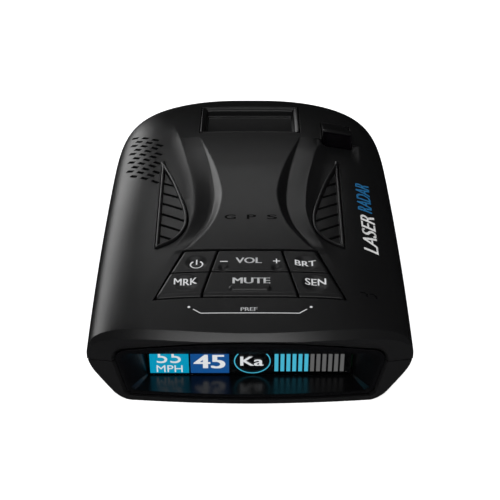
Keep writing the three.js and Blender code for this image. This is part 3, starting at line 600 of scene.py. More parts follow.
def speaker_dashes(add, given):
    """Slanted rows of three dashes; every second row steps inwards by half a dash."""
    line = add("GeometryNodeMeshLine", {"Count": given["dashes"], "Offset": given["step"]})
    rows = add("GeometryNodeMeshLine", {"Count": given["rows"], "Offset": given["row_step"]})
    number = add("GeometryNodeInputIndex")
    odd = add("ShaderNodeMath", {0: number.outputs[0], 1: 2.0}, operation="MODULO")
    aside = add("ShaderNodeVectorMath", {0: given["stagger"], "Scale": odd.outputs[0]}, operation="SCALE")
    shifted = add("GeometryNodeSetPosition", {"Geometry": rows.outputs[0], "Offset": aside.outputs[0]})
    dash = add("GeometryNodeMeshCube", {"Size": given["size"]})
    turned = add("GeometryNodeTransform", {"Geometry": dash.outputs[0], "Rotation": given["turn"]})
    in_row = add("GeometryNodeInstanceOnPoints", {"Points": line.outputs[0], "Instance": turned.outputs[0]})
    grid = add("GeometryNodeInstanceOnPoints", {"Points": shifted.outputs[0], "Instance": in_row.outputs[0]})
    placed = add("GeometryNodeTransform", {"Geometry": grid.outputs[0], "Translation": given["first"]})
    return add("GeometryNodeRealizeInstances", {"Geometry": placed.outputs[0]}).outputs[0]


DASH_X, DASH_Y = 3.25, -2.9              # from one dash of a row to the next
DASH_STAGGER = 1.4
dash_cutters = arrange(
    "speaker_dashes", speaker_dashes, case_black.material, dashes=3, rows=10,
    step=scaled(DASH_X, DASH_Y, 0.0),
    row_step=scaled(0.0, -2.72, 0.0), stagger=scaled(DASH_STAGGER, DASH_STAGGER / DASH_X * DASH_Y, 0.0),
    size=scaled(2.6, 0.95, 16), turn=(0.0, 0.0, math.atan2(DASH_Y, DASH_X)), first=scaled(-34.6, 34, 26))

top_cover = top_lump("top_cover_skin", 0, True)
hollow = carve(top_lump("hollow", WALL, False), end_cutter("inner_end", WALL))
far_corner = (KEY_FAR_X + KEY_GAP, KEY_FAR_Y + KEY_GAP)
near_corner = (KEY_NEAR_X + KEY_GAP, KEY_NEAR_Y - KEY_GAP)
key_corners = [(-far_corner[0], far_corner[1]), (-near_corner[0], near_corner[1]), near_corner, far_corner]
carve(top_cover, end_cutter("near_end", 0), hollow, tunnel_room("tunnel_room", TUNNEL_SPARE),
      prism("key_window", key_corners, 18, 40),
      turned_box("dock_room", DOCK_CENTRE, DOCK_SLOPE, (DOCK_HALF_X, (DOCK_Y1 - DOCK_Y0) / 2), -10, 10),
      prism("left_room", louvre_outline(GAP, -1), 20, 40), prism("right_room", louvre_outline(GAP, 1), 20,
                                                                 40),
      cuboid("hood_room", HOOD_X0 - GAP, HOOD_X1 + GAP, HOOD_Y0 - HOOD_WINDOW - GAP, HOOD_Y1 + GAP, 20, 40),
      cuboid("far_window_room", -FAR_WINDOW_HALF - GAP, FAR_WINDOW_HALF + GAP, 58, 72,
             FAR_WINDOW_LOW - GAP, FAR_WINDOW_HIGH + GAP), dash_cutters)


def finish_piece(piece, sharp=32.0):
    """Smooth faces with crisp edges above that angle."""
    piece.data.polygons.foreach_set("use_smooth", [True] * len(piece.data.polygons))
    piece.data.set_sharp_from_angle(angle=math.radians(sharp))
    return piece


def gather(name, *pieces):
    """One piece from several, each keeping its material."""
    work = bmesh.new()
    materials = []
    for part in pieces:
        before = len(work.faces)
        work.from_mesh(part.data)
        work.faces.ensure_lookup_table()
        slots = []
        for material in part.data.materials:
            if material not in materials:
                materials.append(material)
            slots.append(materials.index(material))
        for face in work.faces[before:]:
            face.material_index = slots[face.material_index] if slots else 0
        bpy.data.objects.remove(part)
    mesh = bpy.data.meshes.new(name)
    work.to_mesh(mesh)
    work.free()
    for material in materials:
        mesh.materials.append(material)
    return linked(name, mesh)


def painted(piece, finish):
    piece.data.materials.clear()
    piece.data.materials.append(finish.material)
    return piece


def coat(finish, *nodes):
    """Gives pieces that keep their CAD shape a finish."""
    for node in nodes:
        painted(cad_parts[node], finish)


painted(top_cover, case_black)
top_cover = finish_piece(gather("top_cover_moulding", top_cover))
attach(top_cover, "case")
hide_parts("top_cover")

# ------------------------------------------------------------
# Bottom cover: the lower half of the case, moulded in the same black ABS. Its
# sides lean in to a flat base with a recess for the label, four screw wells
# and the jack openings on the right-hand side.
# ------------------------------------------------------------
SIDE_TAPER, WAIST_Z, BASE_CORNER = 0.19, 12.8, 3.2
TAPER_EASE = 1.2                         # height over which the sides turn in
LIFT_Y, LIFT = 40, 5.5                   # the base rises towards the far end from there
POST_RADIUS, WELL_RADIUS, WELL_TOP, SCREW_RADIUS = 3.2, 2.9, 4.4, 1.5


def side_lean(z):
    """Share of the full width at that height: full above the waist, then leaning in."""
    below = (WAIST_Z - z) / TAPER_EASE
    eased_below = TAPER_EASE * np.where(below > 20, below, np.log1p(np.exp(np.minimum(below, 20))))
    return 1 - SIDE_TAPER * eased_below / WAIST_Z


def bottom_lump(name, inset, rim, rows):
    rings = []
    for y in rows:
        width = max(0.3, float(case_half_width(np.array(y))) - inset)
        lift = LIFT * max(0, (y - LIFT_Y) / (HALF_LENGTH - LIFT_Y)) ** 3
        depth = (PARTING_Z - lift) * float(nose(np.array(y))) - inset
        depth = max(0.4, depth)
        corner = min(BASE_CORNER, width * 0.5, depth * 0.4)
        half = [(width, -t * (depth - corner)) for t in np.linspace(0, 1, 12)[:-1]]
        half[0] = (width, rim)
        half += [(width - corner + corner * math.cos(a), -(depth - corner) - corner * math.sin(a))
                 for a in np.linspace(0, math.pi / 2, 8)]
        half += [(x, -depth) for x in np.linspace(width - corner, 0, 6)[1:]]
        place = y * FAR_TRIM * (HALF_LENGTH - inset) / HALF_LENGTH if y > 0 else y
        half = [(x * float(side_lean(PARTING_Z + z)), PARTING_Z + z) for x, z in half]
        rings.append([(x, place, z) for x, z in half] + [(-x, place, z) for x, z in half[-2::-1]])
    return rings_to_solid(name, rings)


skin_rows = np.concatenate([np.arange(-71, 49, 1.5), case_rows()[-46:]])
inner_rows = np.concatenate([np.arange(-71, 50, 4), np.linspace(50, 67.6, 14)])
bottom_cover = bottom_lump("bottom_skin", 0, -GAP, skin_rows)
inside = carve(bottom_lump("inside", WALL, 2.0, inner_rows), end_cutter("inner_end", WALL))
carve(bottom_cover, inside, end_cutter("near_end", 0))


def circle(x, y, radius, sides):
    return [(x + radius * math.cos(a), y + radius * math.sin(a))
            for a in np.linspace(0, 2 * math.pi, sides, endpoint=False)]


def bar(name, x, y, radius, low, high):
    return prism(name, circle(x, y, radius, 32), low, high)


for x, y in ((-27.5, -41), (27.5, -41), (-25.5, 45.5), (25.5, 45.5)):
    carve(bottom_cover, bar("post", x, y, POST_RADIUS, 0.8, PARTING_Z - GAP), operation="UNION")
    carve(bottom_cover, bar("well", x, y, WELL_RADIUS, -2, WELL_TOP), bar("hole", x, y, SCREW_RADIUS, 0, 20))
JACK_X0, JACK_X1 = 25, 60                # the jack openings are cut between these
JACK_Y0, JACK_Y1, JACK_Z0, JACK_Z1 = 11.5, 23.5, 5, 13.2
USB_Y0, USB_Y1, USB_Z0, USB_Z1 = -4, 5, 6.2, 10.2
EAR_Y, EAR_Z, EAR_RADIUS = -13, 8.4, 3.1
LABEL_HALF, LABEL_Y0, LABEL_Y1, LABEL_DEEP = 17, -34, -8, 0.6
ear_circle = circle(EAR_Y, EAR_Z, EAR_RADIUS + GAP, 40)
carve(bottom_cover, tunnel_room("tunnel_room", TUNNEL_SPARE),
      cuboid("power_room", JACK_X0, JACK_X1, JACK_Y0 - GAP, JACK_Y1 + GAP, JACK_Z0 - GAP, JACK_Z1 + GAP),
      cuboid("usb_room", JACK_X0, JACK_X1, USB_Y0 - GAP, USB_Y1 + GAP, USB_Z0 - GAP, USB_Z1 + GAP),
      rings_to_solid("ear_room", [[(x, y, z) for y, z in ear_circle] for x in (JACK_X0, JACK_X1)]),
      cuboid("label_room", -LABEL_HALF - GAP, LABEL_HALF + GAP, LABEL_Y0 - GAP, LABEL_Y1 + GAP, -1,
             LABEL_DEEP))
painted(bottom_cover, case_black)
bottom_cover = finish_piece(gather("bottom_cover_moulding", bottom_cover))
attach(bottom_cover, "case")
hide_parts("bottom_cover")

# ------------------------------------------------------------
# Display bezel: a separate flared tunnel in polished black polycarbonate that
# clips into the mouth of the case. Its front rim is rounded, and its floor
# mirrors the screen.
# ------------------------------------------------------------
BEZEL_WALL, BEZEL_SHIFT, BEZEL_BACK = 1.2, 0.5, -52.9
THROAT_Y = -62.0                         # the flare changes its angle there
RING_POINTS = len(tunnel_ring(THROAT_Y, 0))
# Wall offset and distance behind the mouth, from outside round the rim to inside.
RIM = [(BEZEL_WALL, 0.5), (1.17, 0.26), (1.05, 0.09), (0.85, 0.0), (0.5, 0.0), (0.25, 0.05), (0.08, 0.18),
       (0.0, 0.4)]
ring_cache = {}


def tunnel_point(y, wall, i):
    """Point i of the tunnel's section at y."""
    key = (round(y, 4), wall)
    if key not in ring_cache:
        ring_cache[key] = tunnel_ring(y, wall)
    x, z = ring_cache[key][i]
    return (x, y, z)


def before_mouth(point):
    """Whether a point lies ahead of the leaning mouth."""
    x, y, z = point
    return y < end_bow(x, BEZEL_SHIFT) + max(0.0, brow_z(x) - z) * end_lean(x)


def halved(low, high, before, steps):
    """The pair of places that closes in on where before turns false."""
    for _ in range(steps):
        middle = (low + high) / 2
        if before(middle):
            low = middle
        else:
            high = middle
    return low, high


def mouth_loop(wall, back):
    """One loop round the bezel at that wall offset, back behind the mouth."""
    loop = []
    for i in range(RING_POINTS):
        ends = halved(-69.0, BEZEL_BACK, lambda y: before_mouth(tunnel_point(y, wall, i)), 24)
        loop.append(tunnel_point(min(sum(ends) / 2 + back, BEZEL_BACK), wall, i))
    return loop


def station_loop(y, wall):
    return [tunnel_point(y, wall, i) for i in range(RING_POINTS)]


rim_rings = [mouth_loop(wall, back) for wall, back in RIM]
throat = [tunnel_point(THROAT_Y if front[1] < THROAT_Y else front[1] + 0.05, 0.0, i)
          for i, front in enumerate(rim_rings[-1])]
bezel_rings = [station_loop(BEZEL_BACK, BEZEL_WALL), *rim_rings, throat, station_loop(-57.5, 0.0),
               station_loop(BEZEL_BACK, 0.0)]
piano_black = Finish("piano_black", IOR=1.5)
haze = piano_black.noise(900.0, 4.0, 0.6)
piano_black.feed(
    Base_Color=piano_black.blend(haze, (0.0022, 0.0022, 0.0026), (0.0036, 0.0036, 0.0042)),
    Roughness=0.24 + (haze - 0.5) * 0.08,
    Normal=piano_black.bump(piano_black.noise(260.0, 2.0), 0.0000015))
bezel = rings_to_solid("display_bezel_tunnel", bezel_rings, piano_black.material, closed=False)
finish_piece(bezel, 24)
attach(bezel, "case")
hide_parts("display_bezel")

# ------------------------------------------------------------
# Display: a colour screen behind a smoked window at the back of the tunnel.
# The picture is lit cells on the black panel: speed and limit boxes, a band
# ring and a row of signal bars.
# ------------------------------------------------------------
SCREEN_HALF, SCREEN_Y, SCREEN_Z, SCREEN_HIGH = 25.8, -54.4, 8.8, 9.4
SCREEN_LEAN = math.radians(8)
PICTURE_FACE = 0.52                # local depth of the lit cells, just ahead of the panel
PICTURE_SQUEEZE, PICTURE_FOOT = 0.94, 0.06


def on_screen(x, h, depth=PICTURE_FACE):
    """A point of the picture: x across, h above its lower edge."""
    z = h * PICTURE_SQUEEZE - SCREEN_HIGH / 2 + PICTURE_FOOT
    return (x, SCREEN_Y + depth * math.cos(SCREEN_LEAN) - z * math.sin(SCREEN_LEAN),
            SCREEN_Z + depth * math.sin(SCREEN_LEAN) + z * math.cos(SCREEN_LEAN))


def letters(words, width, height, middle, bold=0.0, slant=0.0):
    """Flat lettering in millimetres, fitted to a width and height about its middle."""
    text = bpy.data.curves.new(words, "FONT")
    text.body, text.shear = words, slant
    text.resolution_u = 6
    holder = linked(words, text)
    mesh = baked(holder)
    bpy.data.objects.remove(holder)
    co = np.array([vertex.co[:2] for vertex in mesh.vertices])
    low, high = co.min(0), co.max(0)
    co = (co - (low + high) / 2) / (high - low) * (width - 2 * bold, height) + middle
    faces = [tuple(polygon.vertices) for polygon in mesh.polygons]
    bpy.data.meshes.remove(mesh)
    shifts = (-bold, 0.0, bold) if bold else (0.0,)
    return (np.concatenate([co + (shift, 0) for shift in shifts]),
            [tuple(i + turn * len(co) for i in face) for turn in range(len(shifts)) for face in faces])


def strip(x0, x1, y0, y1):
    return np.array([(x0, y0), (x1, y0), (x1, y1), (x0, y1)]), [(0, 1, 2, 3)]


def hoop(middle, radius, stroke, start=0.0, turn=2 * math.pi, steps=64):
    """A flat ring or part of one."""
    angles = start + np.linspace(0, turn, steps + 1)
    points = [(middle[0] + r * math.cos(a), middle[1] + r * math.sin(a))
              for a in angles for r in (radius - stroke / 2, radius + stroke / 2)]
    return np.array(points), [(2 * i, 2 * i + 1, 2 * i + 3, 2 * i + 2) for i in range(steps)]


def inked(name, flats, surface, thick, material, cell=0.4):
    """Flat shapes laid on a surface as a closed film; surface maps (x, y, lift) to a point."""
    work = bmesh.new()
    for co, faces in flats:
        vertices = [work.verts.new((x, y, 0)) for x, y in co]
        for face in faces:
            if len(set(face)) > 2:
                try:
                    work.faces.new([vertices[i] for i in face])
                except ValueError:
                    pass
    bmesh.ops.remove_doubles(work, verts=work.verts, dist=1e-5)
    for axis in (0, 1):
        places = [vertex.co[axis] for vertex in work.verts]
        normal = Vector((1, 0, 0)) if axis == 0 else Vector((0, 1, 0))
        for place in np.arange(math.floor(min(places) / cell) * cell, max(places), cell) if cell else ():
            bmesh.ops.bisect_plane(work, geom=work.verts[:] + work.edges[:] + work.faces[:],
                                   plane_co=normal * place, plane_no=normal)
    for face in work.faces:
        face.normal_update()
        if face.normal.z < 0:
            face.normal_flip()
    made = bmesh.ops.extrude_face_region(work, geom=work.faces[:])
    raised = {item for item in made["geom"] if isinstance(item, bmesh.types.BMVert)}
    for vertex in work.verts:
        lift = thick / 2 if vertex in raised else -thick / 2
        vertex.co = Vector(surface(vertex.co.x, vertex.co.y, lift)) * MM
    bmesh.ops.recalc_face_normals(work, faces=work.faces)
    mesh = bpy.data.meshes.new(name)
    work.to_mesh(mesh)
    work.free()
    mesh.materials.append(material)
    return linked(name, mesh)


CELLS_PER_METRE, CELL_GAP, GAP_LIGHT = 9500.0, 0.12, 0.75


def lit_cells(name, colour):
    """Screen light broken into fine cells, a little darker between them."""
    finish = Finish(name, Roughness=0.3, Emission_Strength=1.0, Base_Color=(0.002, 0.002, 0.002))
    split = finish.node("SeparateXYZ", {0: finish.place()})
    across = finish.math("FRACT", split * CELLS_PER_METRE)
    mask = (across > CELL_GAP) * (1 - GAP_LIGHT) + GAP_LIGHT
    finish.feed(Emission_Color=finish.blend(mask * (0.92 + finish.noise(160.0) * 0.16), (0, 0, 0), colour))
    return finish.material


def picture(name, flats, material, depth=PICTURE_FACE):
    return inked(name, flats, lambda x, h, lift: on_screen(x, h, depth - lift), 0.04, material, cell=0)


CYAN, BLUE, BAR_CYAN, IDLE = (0.0, 0.34, 0.56), (0.006, 0.085, 0.30), (0.07, 0.52, 0.72), (0.13, 0.13, 0.13)
FRONT = PICTURE_FACE - 0.06              # the figures lie just ahead of their boxes
BOX_TOP = 9.0
BARS, BAR_WIDE, BAR_PITCH, BAR_LOW, FIRST_BAR = 6, 0.97, 1.525, 0.9, 6.27
bar_rows = []
for name, first, colour in (("lit_bars", 0, BAR_CYAN), ("idle_bars", BARS, IDLE)):
    middle = on_screen(FIRST_BAR + BAR_WIDE / 2 + first * BAR_PITCH, (BAR_LOW + BOX_TOP) / 2)
    bar_rows.append(arrange(
        name, box_row, lit_cells(name + "_light", colour), count=BARS, pitch=scaled(BAR_PITCH, 0.0, 0.0),
        size=scaled(BAR_WIDE, 0.04, BOX_TOP - BAR_LOW), turn=(0.0, 0.0, 0.0), first=scaled(*middle),
        lean=(SCREEN_LEAN, 0.0, 0.0)))
white_light = lit_cells("white_light", (0.82, 0.84, 0.86))
screen_picture = gather(
    "screen_picture",
    picture("speed_box", [strip(-25.6, -15.65, 0, BOX_TOP)], lit_cells("speed_light", CYAN)),
    picture("limit_box", [strip(-15.2, -5.35, 0, BOX_TOP)], lit_cells("limit_light", BLUE)),
    picture("speed_words", [letters("MPH", 6.65, 2.6, (-20.6, 1.7)),
                            letters("55", 6.15, 4.3, (-20.7, 6.05))], white_light, FRONT),
    picture("limit_words", [letters("45", 8.1, 5.2, (-10.35, 4.45), 0.26)], white_light, FRONT),
    picture("band_words", [letters("Ka", 5.95, 3.5, (0.48, 4.6), 0.12)], white_light, FRONT),
    picture("band_ring", [hoop((0.6, 4.6), 4.55, 0.27)], lit_cells("ring_light", BAR_CYAN), FRONT),
    *bar_rows)
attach(screen_picture, "case")

panel_black = Finish("screen_panel_black", Roughness=0.25)
panel_black.feed(Base_Color=panel_black.blend(panel_black.noise(700.0), (0.001, 0.0012, 0.0016),
                                              (0.002, 0.0026, 0.0036)))
coat(panel_black, "display_panel")


def filmed(name, mottle, dark, light, ripple, depth, **even):
    """A colour that varies a little over a surface with its own fine ripple."""
    finish = Finish(name, **even)
    return finish.feed(Base_Color=finish.blend(finish.noise(*mottle), dark, light),
                       Normal=finish.bump(finish.noise(ripple), depth))


smoked_window = filmed("smoked_window", (400.0,), (0.001, 0.001, 0.0015), (0.002, 0.002, 0.003), 200.0,
                       0.000001,
                       Roughness=0.05, IOR=1.5, Alpha=0.07)
coat(smoked_window, "display_window")

# ------------------------------------------------------------
# Keys: six satin black caps that share one waisted window in the top cover,
# moulded in ABS over a silicone mat. The legends are pad-printed in light
# grey; the finger dishes and the long pip are moulded in.
# ------------------------------------------------------------
CAP_PROUD, CAP_DEEP, CAP_ROUND, ROW_Y = 0.25, 3.0, 0.28, -42.6
SIDE_BEVEL, SIDE_BEVEL_DROP = 0.6, 0.3
NEAR_GAP_EXTRA = 0.35              # the gap along the near edge of the key field is the widest
NEAR_BEVEL, NEAR_BEVEL_DROP = 1.15, 0.45
SPLIT_FAR, SPLIT_NEAR = 8.3, 12.1
KEY_MIDDLE, KEY_SLOPE = Vector((0, -43, 28.3)), math.radians(5)
STEM_HEAD, STEM_FOOT, STEM_RADIUS = -1.5, -4.6, 1.5
HALF_GAP = KEY_GAP / 2
COLUMNS = [(-KEY_FAR_X - HALF_GAP, -KEY_NEAR_X - HALF_GAP), (-SPLIT_FAR, -SPLIT_NEAR),
           (SPLIT_FAR, SPLIT_NEAR),
           (KEY_FAR_X + HALF_GAP, KEY_NEAR_X + HALF_GAP)]
FAR_ROW, NEAR_ROW = (KEY_FAR_Y + HALF_GAP, ROW_Y), (ROW_Y, KEY_NEAR_Y - HALF_GAP)


def column_x(column, y):
    return column[0] + (column[1] - column[0]) * (KEY_FAR_Y - y) / (KEY_FAR_Y - KEY_NEAR_Y)


def cap_height(x, y, dishes, pip):
    """Top of a cap away from its edges, with its dishes and pip."""
    z = case_top(x, y) + CAP_PROUD
    for cx, cy, radius, depth in dishes:
        away = np.clip(((x - cx) ** 2 + (y - cy) ** 2) / radius ** 2, 0, 1)
        z = z - depth * (1 - away) ** 1.35
    if pip:
        cx, cy, half, radius = pip
        reach = np.hypot(np.maximum(0, np.abs(x - cx) - half), y - cy)
        z = z + 0.5 * eased((radius - reach) / 0.45)
    return z


def fillet(distance, radius):
    """How far a rounded edge lies below its face, at that distance from the edge."""
    inner = np.clip(radius - distance, 0, radius)
    return radius - np.sqrt(radius ** 2 - inner ** 2)


def edge_places(count):
    """Shares from 0 to 1, close together at both ends."""
    return np.concatenate([[0, 0.002, 0.006, 0.014, 0.026], np.linspace(0.045, 0.955, count),
                           [0.974, 0.986, 0.994, 0.998, 1]])


def key_cap(name, left, right, row, stems, dishes, pip, cells):
    """A cap between two column lines, on round stems that reach down to the mat."""
    far, near = row[0] - HALF_GAP, row[1] + HALF_GAP + (NEAR_GAP_EXTRA if row is NEAR_ROW else 0)
    rings = []
    for y in far + (near - far) * edge_places(cells[1]):
        x0, x1 = column_x(COLUMNS[left], y) + HALF_GAP, column_x(COLUMNS[right], y) - HALF_GAP
        xs = x0 + (x1 - x0) * edge_places(cells[0])
        ys = np.full_like(xs, y)
        from_edge = np.minimum(np.minimum(xs - x0, x1 - xs), min(far - y, y - near))
        top = cap_height(xs, ys, dishes, pip) - fillet(from_edge, CAP_ROUND)
        if row is NEAR_ROW:
            top = top - NEAR_BEVEL_DROP * np.clip((near + NEAR_BEVEL - y) / NEAR_BEVEL, 0, 1)
        for outer, from_side in ((left == 0, xs - x0), (right == 3, x1 - xs)):
            if outer:
                top = top - SIDE_BEVEL_DROP * np.clip((SIDE_BEVEL - from_side) / SIDE_BEVEL, 0, 1)
        low = case_top(xs, ys) - CAP_DEEP
        rings.append(np.concatenate([np.stack([xs, ys, top], axis=1), np.stack([xs, ys, low], axis=1)[::-1]]))
    cap = rings_to_solid(name, rings)
    turn = Matrix.Rotation(KEY_SLOPE, 3, "X")
    for x in stems:
        foot = circle(x, (row[0] + row[1]) / 2 - KEY_MIDDLE.y, STEM_RADIUS, 24)
        carve(cap, rings_to_solid("stem", [[tuple(KEY_MIDDLE + turn @ Vector((*place, z))) for place in foot]
                                           for z in (STEM_FOOT, STEM_HEAD)]), operation="UNION")
    return cap


key_black = moulded_plastic("key_black_satin", 0.008, 0.34, 0.000008, soften=0.0)
INK_GRAIN, INK_DEPTH, INK_THICK, INK_LIFT = 4000.0, 0.000004, 0.03, 0.012
legend_ink = filmed("legend_ink", (2500.0, 3.0), (0.78, 0.79, 0.80), (0.88, 0.89, 0.90), INK_GRAIN, INK_DEPTH)
legend_ink.feed(Roughness=0.42 + legend_ink.noise(1800.0) * 0.2)
POWER_MARK = [hoop((-13.7, -39.2), 1.55, 0.36, math.radians(125), math.radians(290)),
              strip(-13.88, -13.52, -39.0, -37.2)]
# Node, body, its columns and row, stems, dishes (place, radius, depth), pip, legend and mesh cells.
CAPS = [
    ("button_power", "power_key", 0, 1, FAR_ROW, [-13.6], [(-13.8, -38.8, 3.0, 0.55)], None,
     POWER_MARK, (34, 30)),
    ("button_mark", "mark_key", 0, 1, NEAR_ROW, [-16], [(-16.2, -46.9, 3.3, 0.62)], None,
     [letters("MRK", 5.9, 2.3, (-16.25, -46.1), 0.05)], (40, 34)),
    ("volume_rocker", "volume_key", 1, 2, FAR_ROW, [-6.2, 6.2],
     [(-6.8, -41.1, 1.45, 0.4), (6.8, -41.1, 1.45, 0.4)], None,
     [letters("VOL", 6.7, 2.3, (-0.35, -38.05), 0.08), strip(-7.7, -5.7, -38.65, -38.35),
      strip(5.9, 7.7, -38.5, -38.2), strip(6.65, 6.95, -39.3, -37.4)], (72, 30)),
    ("button_mute", "mute_key", 1, 2, NEAR_ROW, [0], [], (0.0, -49.35, 4.1, 1.2),
     [letters("MUTE", 9.5, 2.3, (0.35, -46.35), 0.1)], (84, 40)),
    ("button_brightness", "brightness_key", 2, 3, FAR_ROW, [13.6], [(14.2, -38.8, 3.0, 0.55)], None,
     [letters("BRT", 5.4, 2.1, (14.2, -38.7), 0.05)], (34, 30)),
    ("button_sensitivity", "sensitivity_key", 2, 3, NEAR_ROW, [16], [(16.3, -47, 3.3, 0.62)], None,
     [letters("SEN", 5.3, 2.3, (16.55, -46.15), 0.05)], (40, 34)),
]
for node, body, left, right, row, stems, dishes, pip, marks, cells in CAPS:
    cap = painted(key_cap(node + "_moulding", left, right, row, stems, dishes, pip, cells), key_black)

    def on_cap(x, y, lift, dishes=dishes, pip=pip):
        return (x, y, float(cap_height(np.array(x), np.array(y), dishes, pip)) + INK_LIFT + lift)

    print_film = inked(node + "_legend", marks, on_cap, INK_THICK, legend_ink.material)
    finish_piece(cap, 40)
    cap = gather(node + "_cap", cap, print_film)
    cap.data.set_sharp_from_angle(angle=math.radians(40))
    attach(cap, body)
    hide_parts(node)

# ------------------------------------------------------------
# Prints and marks on the top cover: the bracket and word under the keys, the
# plain words on the right-hand shoulder in pad-printed ink, and three matt
# letters on the panel whose darker colour is painted shade.
# ------------------------------------------------------------


def on_top(x, y, lift):
    return (x, y, float(top_surface(x, y)) + INK_LIFT + lift)


def dot(x, y, radius):
    return np.array(circle(x, y, radius, 24)), [tuple(range(24))]


def stroke(x0, y0, x1, y1, width):
    along = np.array([x1 - x0, y1 - y0], float)
    side = np.array([-along[1], along[0]]) / np.linalg.norm(along) * width / 2
    start, end = np.array([x0, y0]), np.array([x1, y1])
    return np.array([start - side, end - side, end + side, start + side]), [(0, 1, 2, 3)]


def upright(flat, middle):
    """Turns lettering a quarter turn so that it reads from the near end to the far end."""
    co, faces = flat
    return np.stack([middle[0] - co[:, 1], middle[1] + co[:, 0]], axis=1), faces


bracket = [dot(-15.05, -56.15, 0.36), dot(15.05, -56.15, 0.36), strip(-12.1, 12.1, -58.72, -58.48),
           stroke(-14.0, -57.0, -12.1, -58.6, 0.24), stroke(12.1, -58.6, 14.0, -57.0, 0.24),
           letters("PREF", 4.1, 1.35, (-0.25, -57.15), 0.04)]
bracket_print = inked("key_bracket_print", bracket, on_top, INK_THICK, legend_ink.material)
blue_ink = filmed("blue_ink", (2500.0,), (0.0, 0.13, 0.34), (0.005, 0.18, 0.42), INK_GRAIN, INK_DEPTH,
                  Roughness=0.5)
white_ink = filmed("white_ink", (2500.0,), (0.84, 0.84, 0.84), (0.92, 0.92, 0.92), INK_GRAIN, INK_DEPTH,
                   Roughness=0.5)
white_words = inked("white_words", [upright(letters("LASER", 17.5, 3.9, (0, 0), 0.12, 0.25), (31.9, -22.2))],
                    on_top, INK_THICK, white_ink.material)
blue_words = inked("blue_words", [upright(letters("RADAR", 14.5, 3.9, (0, 0), 0.12, 0.25), (31.5, -4.6))],
                   on_top, INK_THICK, blue_ink.material)
hooks = inked("hook_marks", [hoop((x, -49.9), 1.0, 0.45, math.radians(-25), math.radians(150), 16)
                             for x in (28.3, 30.7)], on_top, INK_THICK, piano_black.material)
top_prints = gather("top_prints", bracket_print, white_words, blue_words, hooks)
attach(top_prints, "case")

# Painted shade: the panel letters are real, but their colour is darker than the case to stand in for the
# shade that outlines them.
letter_shade_film = filmed("matt_letter_shade_film", (2500.0,), (0.001, 0.001, 0.001), (0.003, 0.003, 0.003), INK_GRAIN,
                  INK_DEPTH,
                  Specular_IOR_Level=0.15)
letter_shade_film.feed(Roughness=0.7 + letter_shade_film.noise(1500.0) * 0.2)
panel_letters = inked("panel_letters", [letters(letter, width, 2.0, (x, -19.3), 0.06) for letter, width, x in
                                        (("G", 3.0, -5.3), ("P", 2.5, 0.4), ("S", 2.7, 5.9))],
                      on_top, INK_THICK, letter_shade_film.material)
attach(panel_letters, "case")

# ------------------------------------------------------------
# Louvre inserts: two D-shaped black ABS inserts snapped into the shoulders of
# the top cover. A round-edged rim stands up round a sunken plate with six
# slanted slots.
# ------------------------------------------------------------
RIM_LIP, RIM_WIDE, PLATE_SUNK, INSERT_DEEP = 0.45, 0.9, 0.7, 2.1
SLOT_WIDE, SLOT_PITCH, SLOT_FIRST_Y, SLOT_X, SLOT_TURN = 0.85, 5.14, 0.9, 23.9, -0.595
RIM_PROFILE = [(0.0, -INSERT_DEEP), (0.0, 0.1), (0.06, 0.3), (0.2, 0.42), (0.36, RIM_LIP), (0.56, 0.4),
               (0.72, 0.26), (0.82, 0.0), (RIM_WIDE, -0.3), (RIM_WIDE, -INSERT_DEEP)]

for node, side in (("vent_louvre_left", -1), ("vent_louvre_right", 1)):
    anchor = np.array(louvre_outline(0, side))
    level = case_top(anchor[:, 0], anchor[:, 1])
    rim = rings_to_solid("rim", [np.column_stack([louvre_outline(-inward, side), level + lift])
                                 for inward, lift in RIM_PROFILE], closed=False)
    xs, ys = np.linspace(15, 27, 34) * side, np.linspace(-33, 15, 90)
    grid_x, grid_y = np.meshgrid(xs, ys)
    surface = case_top(grid_x, grid_y)
    plate_rings = [[(x, y, z - PLATE_SUNK) for x, y, z in zip(grid_x[r], grid_y[r], surface[r])]
                   + [(x, y, z - INSERT_DEEP) for x, y, z in zip(grid_x[r][::-1], grid_y[r],
                                                                 surface[r][::-1])]
                   for r in range(len(ys))]
    plate = rings_to_solid("plate", plate_rings)
    carve(plate, arrange(
        "slots", box_row, case_black.material, count=6, pitch=scaled(0.0, -SLOT_PITCH, 0.0),
        size=scaled(40, SLOT_WIDE, 30), turn=(0.0, 0.0, -side * SLOT_TURN),
        first=scaled(side * SLOT_X, SLOT_FIRST_Y, 27), lean=(0.0, 0.0, 0.0)))
    carve(plate, prism("plate_edge", louvre_outline(-RIM_WIDE + 0.1, side), 10, 44), operation="INTERSECT")
    insert = gather(node + "_insert", painted(rim, case_black), painted(plate, case_black))
    finish_piece(insert, 35)
    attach(insert, "case")
    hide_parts(node)

# ------------------------------------------------------------
# Dock insert: a rectangular pocket moulded in black ABS, let into the far end
# of the top cover. Its rim is flush and chamfered, and the windshield mount's
# foot sits on its flat floor over two magnets.
# ------------------------------------------------------------
dock_turn = Matrix.Rotation(DOCK_SLOPE, 3, "X")


